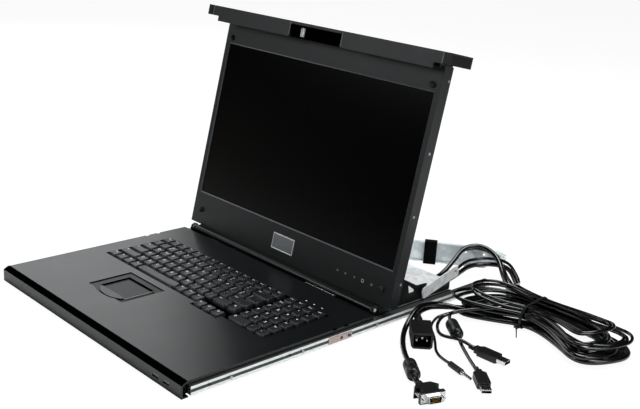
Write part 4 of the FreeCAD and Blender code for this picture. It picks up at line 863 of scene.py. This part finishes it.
class CONSOLE_OT_leads(bpy.types.Operator):
    """Lay the leads: out of the glands, round the tied hank and on to their plugs."""
    bl_idname = "console.leads"
    bl_label = "Leads"

    def execute(self, context):
        size = context.scene.console_sizes
        lead("video_lead", VIDEO_FEED + hank_turns(1.0, 0.5, 2.8, 6, 10, 1.0) + VIDEO_TAIL, size.lead,
             ("video_feed", "video_tail", "video_tail_end"), 2.0, "video_plug")
        turns = hank_turns(0.9, 0.4, 2.8, 13, 17, 2.0, (-6, 8, 2), (-6, -8, 0))
        lead("power_lead", POWER_FEED + turns + POWER_TAIL, size.lead, ("power_feed", "power_tail"), 1.9,
             "power_plug")
        turns = hank_turns(1.02, 0.6, 2.8, 20, 23, 1.5, (-9, -5, 6), (-3, 8, 2))
        lead("usb_lead_a", USB_A_FEED + turns + USB_A_TAIL, size.thin_lead, ("usb_tail_a", "usb_tail_a_end"),
             2.0, "usb_plug_a")
        turns = hank_turns(0.8, 0.55, 1.8, 24, 28, 2.5, (6, 10, 14), (-12, -6, 0))
        lead("usb_lead_b", USB_B_FEED + turns + USB_B_TAIL, size.thin_lead, ("usb_tail_b",), 1.36,
             "usb_plug_b")
        turns = hank_turns(0.7, 0.45, 1.8, 28, 32, 1.0, (-4, 12, 18), (-14, 8, 3))
        lead("audio_lead", [(262, 380, 17)] + turns + AUDIO_TAIL, size.audio_lead,
             ("audio_tail", "cable_hank"), 1.06, "audio_plug")
        return {"FINISHED"}


class CONSOLE_OT_finishes(bpy.types.Operator):
    """Give every carried-over solid its real finish, with painted highlights and painted shade on some faces.
    """
    bl_idname = "console.finishes"
    bl_label = "Finishes"

    def execute(self, context):
        build_materials(context.scene.console_colours)
        for finish, names in CAD_FINISH.items():
            for name in names:
                mesh = NODES[name].data
                mesh.materials.clear()
                mesh.materials.append(bpy.data.materials[finish])
        # the strip beside the post is bare, and the rails' upright faces are painted dark: painted shade
        second_finish("cable_post", "bright_galvanised_and_lit_top", lambda at, way: at[:, 0] > 202.95 * MM)
        # the cover's up-facing faces take the lighter galvanised: a painted highlight
        second_finish("electronics_cover", "bright_galvanised_and_lit_top", lambda at, way: way[:, 2] > 0.9)
        # the deck's upright walls round its openings are near black: painted shade
        second_finish("deck_plate", "blackened_recess",
                      lambda at, way: (abs(way[:, 2]) < 0.2) & (abs(at[:, 0]) < 190 * MM)
                      & (at[:, 1] > -110 * MM) & (at[:, 1] < 130 * MM))
        # the front bar's up-facing faces are near black: a painted shadow in the gap before the deck
        second_finish("front_bar", "blackened_recess", lambda at, way: way[:, 2] > 0.4)
        outward = on_display((0, 1, 0))[0] - on_display((0, 0, 0))[0]
        # the bezel's chamfers round the window are pale grey: a painted highlight
        second_finish("display_bezel", "worn_edge",
                      lambda at, way: np.abs(way @ outward / MM - 0.7) < 0.12)
        for name in ("outer_rails", "middle_rails"):
            second_finish(name, "painted_shade_rail_face", lambda at, way: abs(way[:, 0]) > 0.7)
        return {"FINISHED"}


class CONSOLE_OT_stage(bpy.types.Operator):
    """Camera, pale floor and soft studio light."""
    bl_idname = "console.stage"
    bl_label = "Stage"

    def execute(self, context):
        scene = context.scene
        scene.view_settings.view_transform = "Standard"
        azimuth, elevation, roll = (math.radians(a) for a in (45.71, 17.87, 3.65))
        back = Vector((math.sin(azimuth) * math.cos(elevation), -math.cos(azimuth) * math.cos(elevation),
                       math.sin(elevation)))
        right = Vector((math.cos(azimuth), math.sin(azimuth), 0))
        up = back.cross(right)
        turned_right = math.cos(roll) * right + math.sin(roll) * up
        turned_up = -math.sin(roll) * right + math.cos(roll) * up
        data = bpy.data.cameras.new("camera")
        data.sensor_width = 36
        data.lens = 55.3
        data.shift_x = 0.0034
        data.shift_y = 0.0036
        data.clip_start = 0.05
        camera = bpy.data.objects.new("camera", data)
        scene.collection.objects.link(camera)
        turn = Matrix((turned_right, turned_up, back)).transposed().to_4x4()
        camera.matrix_world = Matrix.Translation((0.988, -0.7259, 0.540)) @ turn
        scene.camera = camera
        floor_material, tree = new_material("studio_floor")
        path = add_node(tree, "ShaderNodeLightPath")
        pale = add_node(tree, "ShaderNodeBsdfDiffuse", Color=linear("#F2F2F2"))
        white = add_node(tree, "ShaderNodeEmission", Strength=1.09)
        seen = add_node(tree, "ShaderNodeMath", {"operation": "MULTIPLY"}, n0=path.outputs["Is Camera Ray"],
                        n1=0.86)
        mixed = add_node(tree, "ShaderNodeMixShader", n0=seen.outputs[0], n1=pale.outputs[0],
                         n2=white.outputs[0])
        close_material(tree, mixed)
        half = 6.0
        floor = bpy.data.meshes.new("floor")
        floor.from_pydata([(-half, -half, -0.0004), (half, -half, -0.0004), (half, half, -0.0004),
                           (-half, half, -0.0004)], [], [(0, 1, 2, 3)])
        floor.materials.append(floor_material)
        ground = bpy.data.objects.new("floor", floor)
        scene.collection.objects.link(ground)
        world = bpy.data.worlds.new("studio")
        scene.world = world
        world.use_nodes = True
        tree = world.node_tree
        tree.nodes.clear()
        path = add_node(tree, "ShaderNodeLightPath")
        seen = add_node(tree, "ShaderNodeMath", {"operation": "MAXIMUM"}, n0=path.outputs["Is Camera Ray"],
                        n1=path.outputs["Is Transmission Ray"])
        fill = add_node(tree, "ShaderNodeBackground", Color=linear("#E8EDF2"), Strength=0.02)
        clear = add_node(tree, "ShaderNodeBackground", Color=(1, 1, 1, 1), Strength=1.0)
        both = add_node(tree, "ShaderNodeMixShader", n0=seen.outputs[0], n1=fill.outputs[0],
                        n2=clear.outputs[0])
        add_node(tree, "ShaderNodeOutputWorld", Surface=both.outputs[0])
        for name, place, aim, width, power in (
                ("key_light", (-1.7, -1.9, 1.3), (0, -0.05, 0.05), 1.0, 14),
                ("top_light", (0.3, 0.6, 2.3), (0.1, 0.1, 0), 1.4, 58),
                ("back_light", (-2.05, 0.62, 1.2), (-0.1, -0.05, 0.05), 1.6, 15),
                ("side_light", (2.2, 0.2, 1.3), (0.3, 0.25, 0), 1.0, 16)):
            lamp = bpy.data.lights.new(name, "AREA")
            lamp.size = width
            lamp.energy = power
            lamp.color = (0.97, 0.99, 1.0)
            light = bpy.data.objects.new(name, lamp)
            scene.collection.objects.link(light)
            way = Vector(aim) - Vector(place)
            light.matrix_world = Matrix.Translation(place) @ way.to_track_quat("-Z", "Y").to_matrix().to_4x4()
        return {"FINISHED"}


class CONSOLE_PT_panel(bpy.types.Panel):
    bl_idname = "CONSOLE_PT_panel"
    bl_label = "Rack console drawer"
    bl_space_type = "VIEW_3D"
    bl_region_type = "UI"
    bl_category = "Console"

    def draw(self, context):
        for group in (context.scene.console_sizes, context.scene.console_colours):
            for name in group.__annotations__:
                self.layout.prop(group, name)
        for step in STEPS:
            self.layout.operator(step.bl_idname)


STEPS = (CONSOLE_OT_finishes, CONSOLE_OT_stage, CONSOLE_OT_keyboard, CONSOLE_OT_deck, CONSOLE_OT_display,
         CONSOLE_OT_plugs, CONSOLE_OT_leads, CONSOLE_OT_ties)
CLASSES = (ConsoleSizes, ConsoleColours, *STEPS, CONSOLE_PT_panel)


def register():
    for item in CLASSES:
        bpy.utils.register_class(item)
    bpy.types.Scene.console_sizes = bpy.props.PointerProperty(type=ConsoleSizes)
    bpy.types.Scene.console_colours = bpy.props.PointerProperty(type=ConsoleColours)


def unregister():
    del bpy.types.Scene.console_colours
    del bpy.types.Scene.console_sizes
    for item in reversed(CLASSES):
        bpy.utils.unregister_class(item)


def main():
    register()
    for step in STEPS:
        group, name = step.bl_idname.split(".")
        getattr(getattr(bpy.ops, group), name)()


if __name__ == "__main__":
    main()
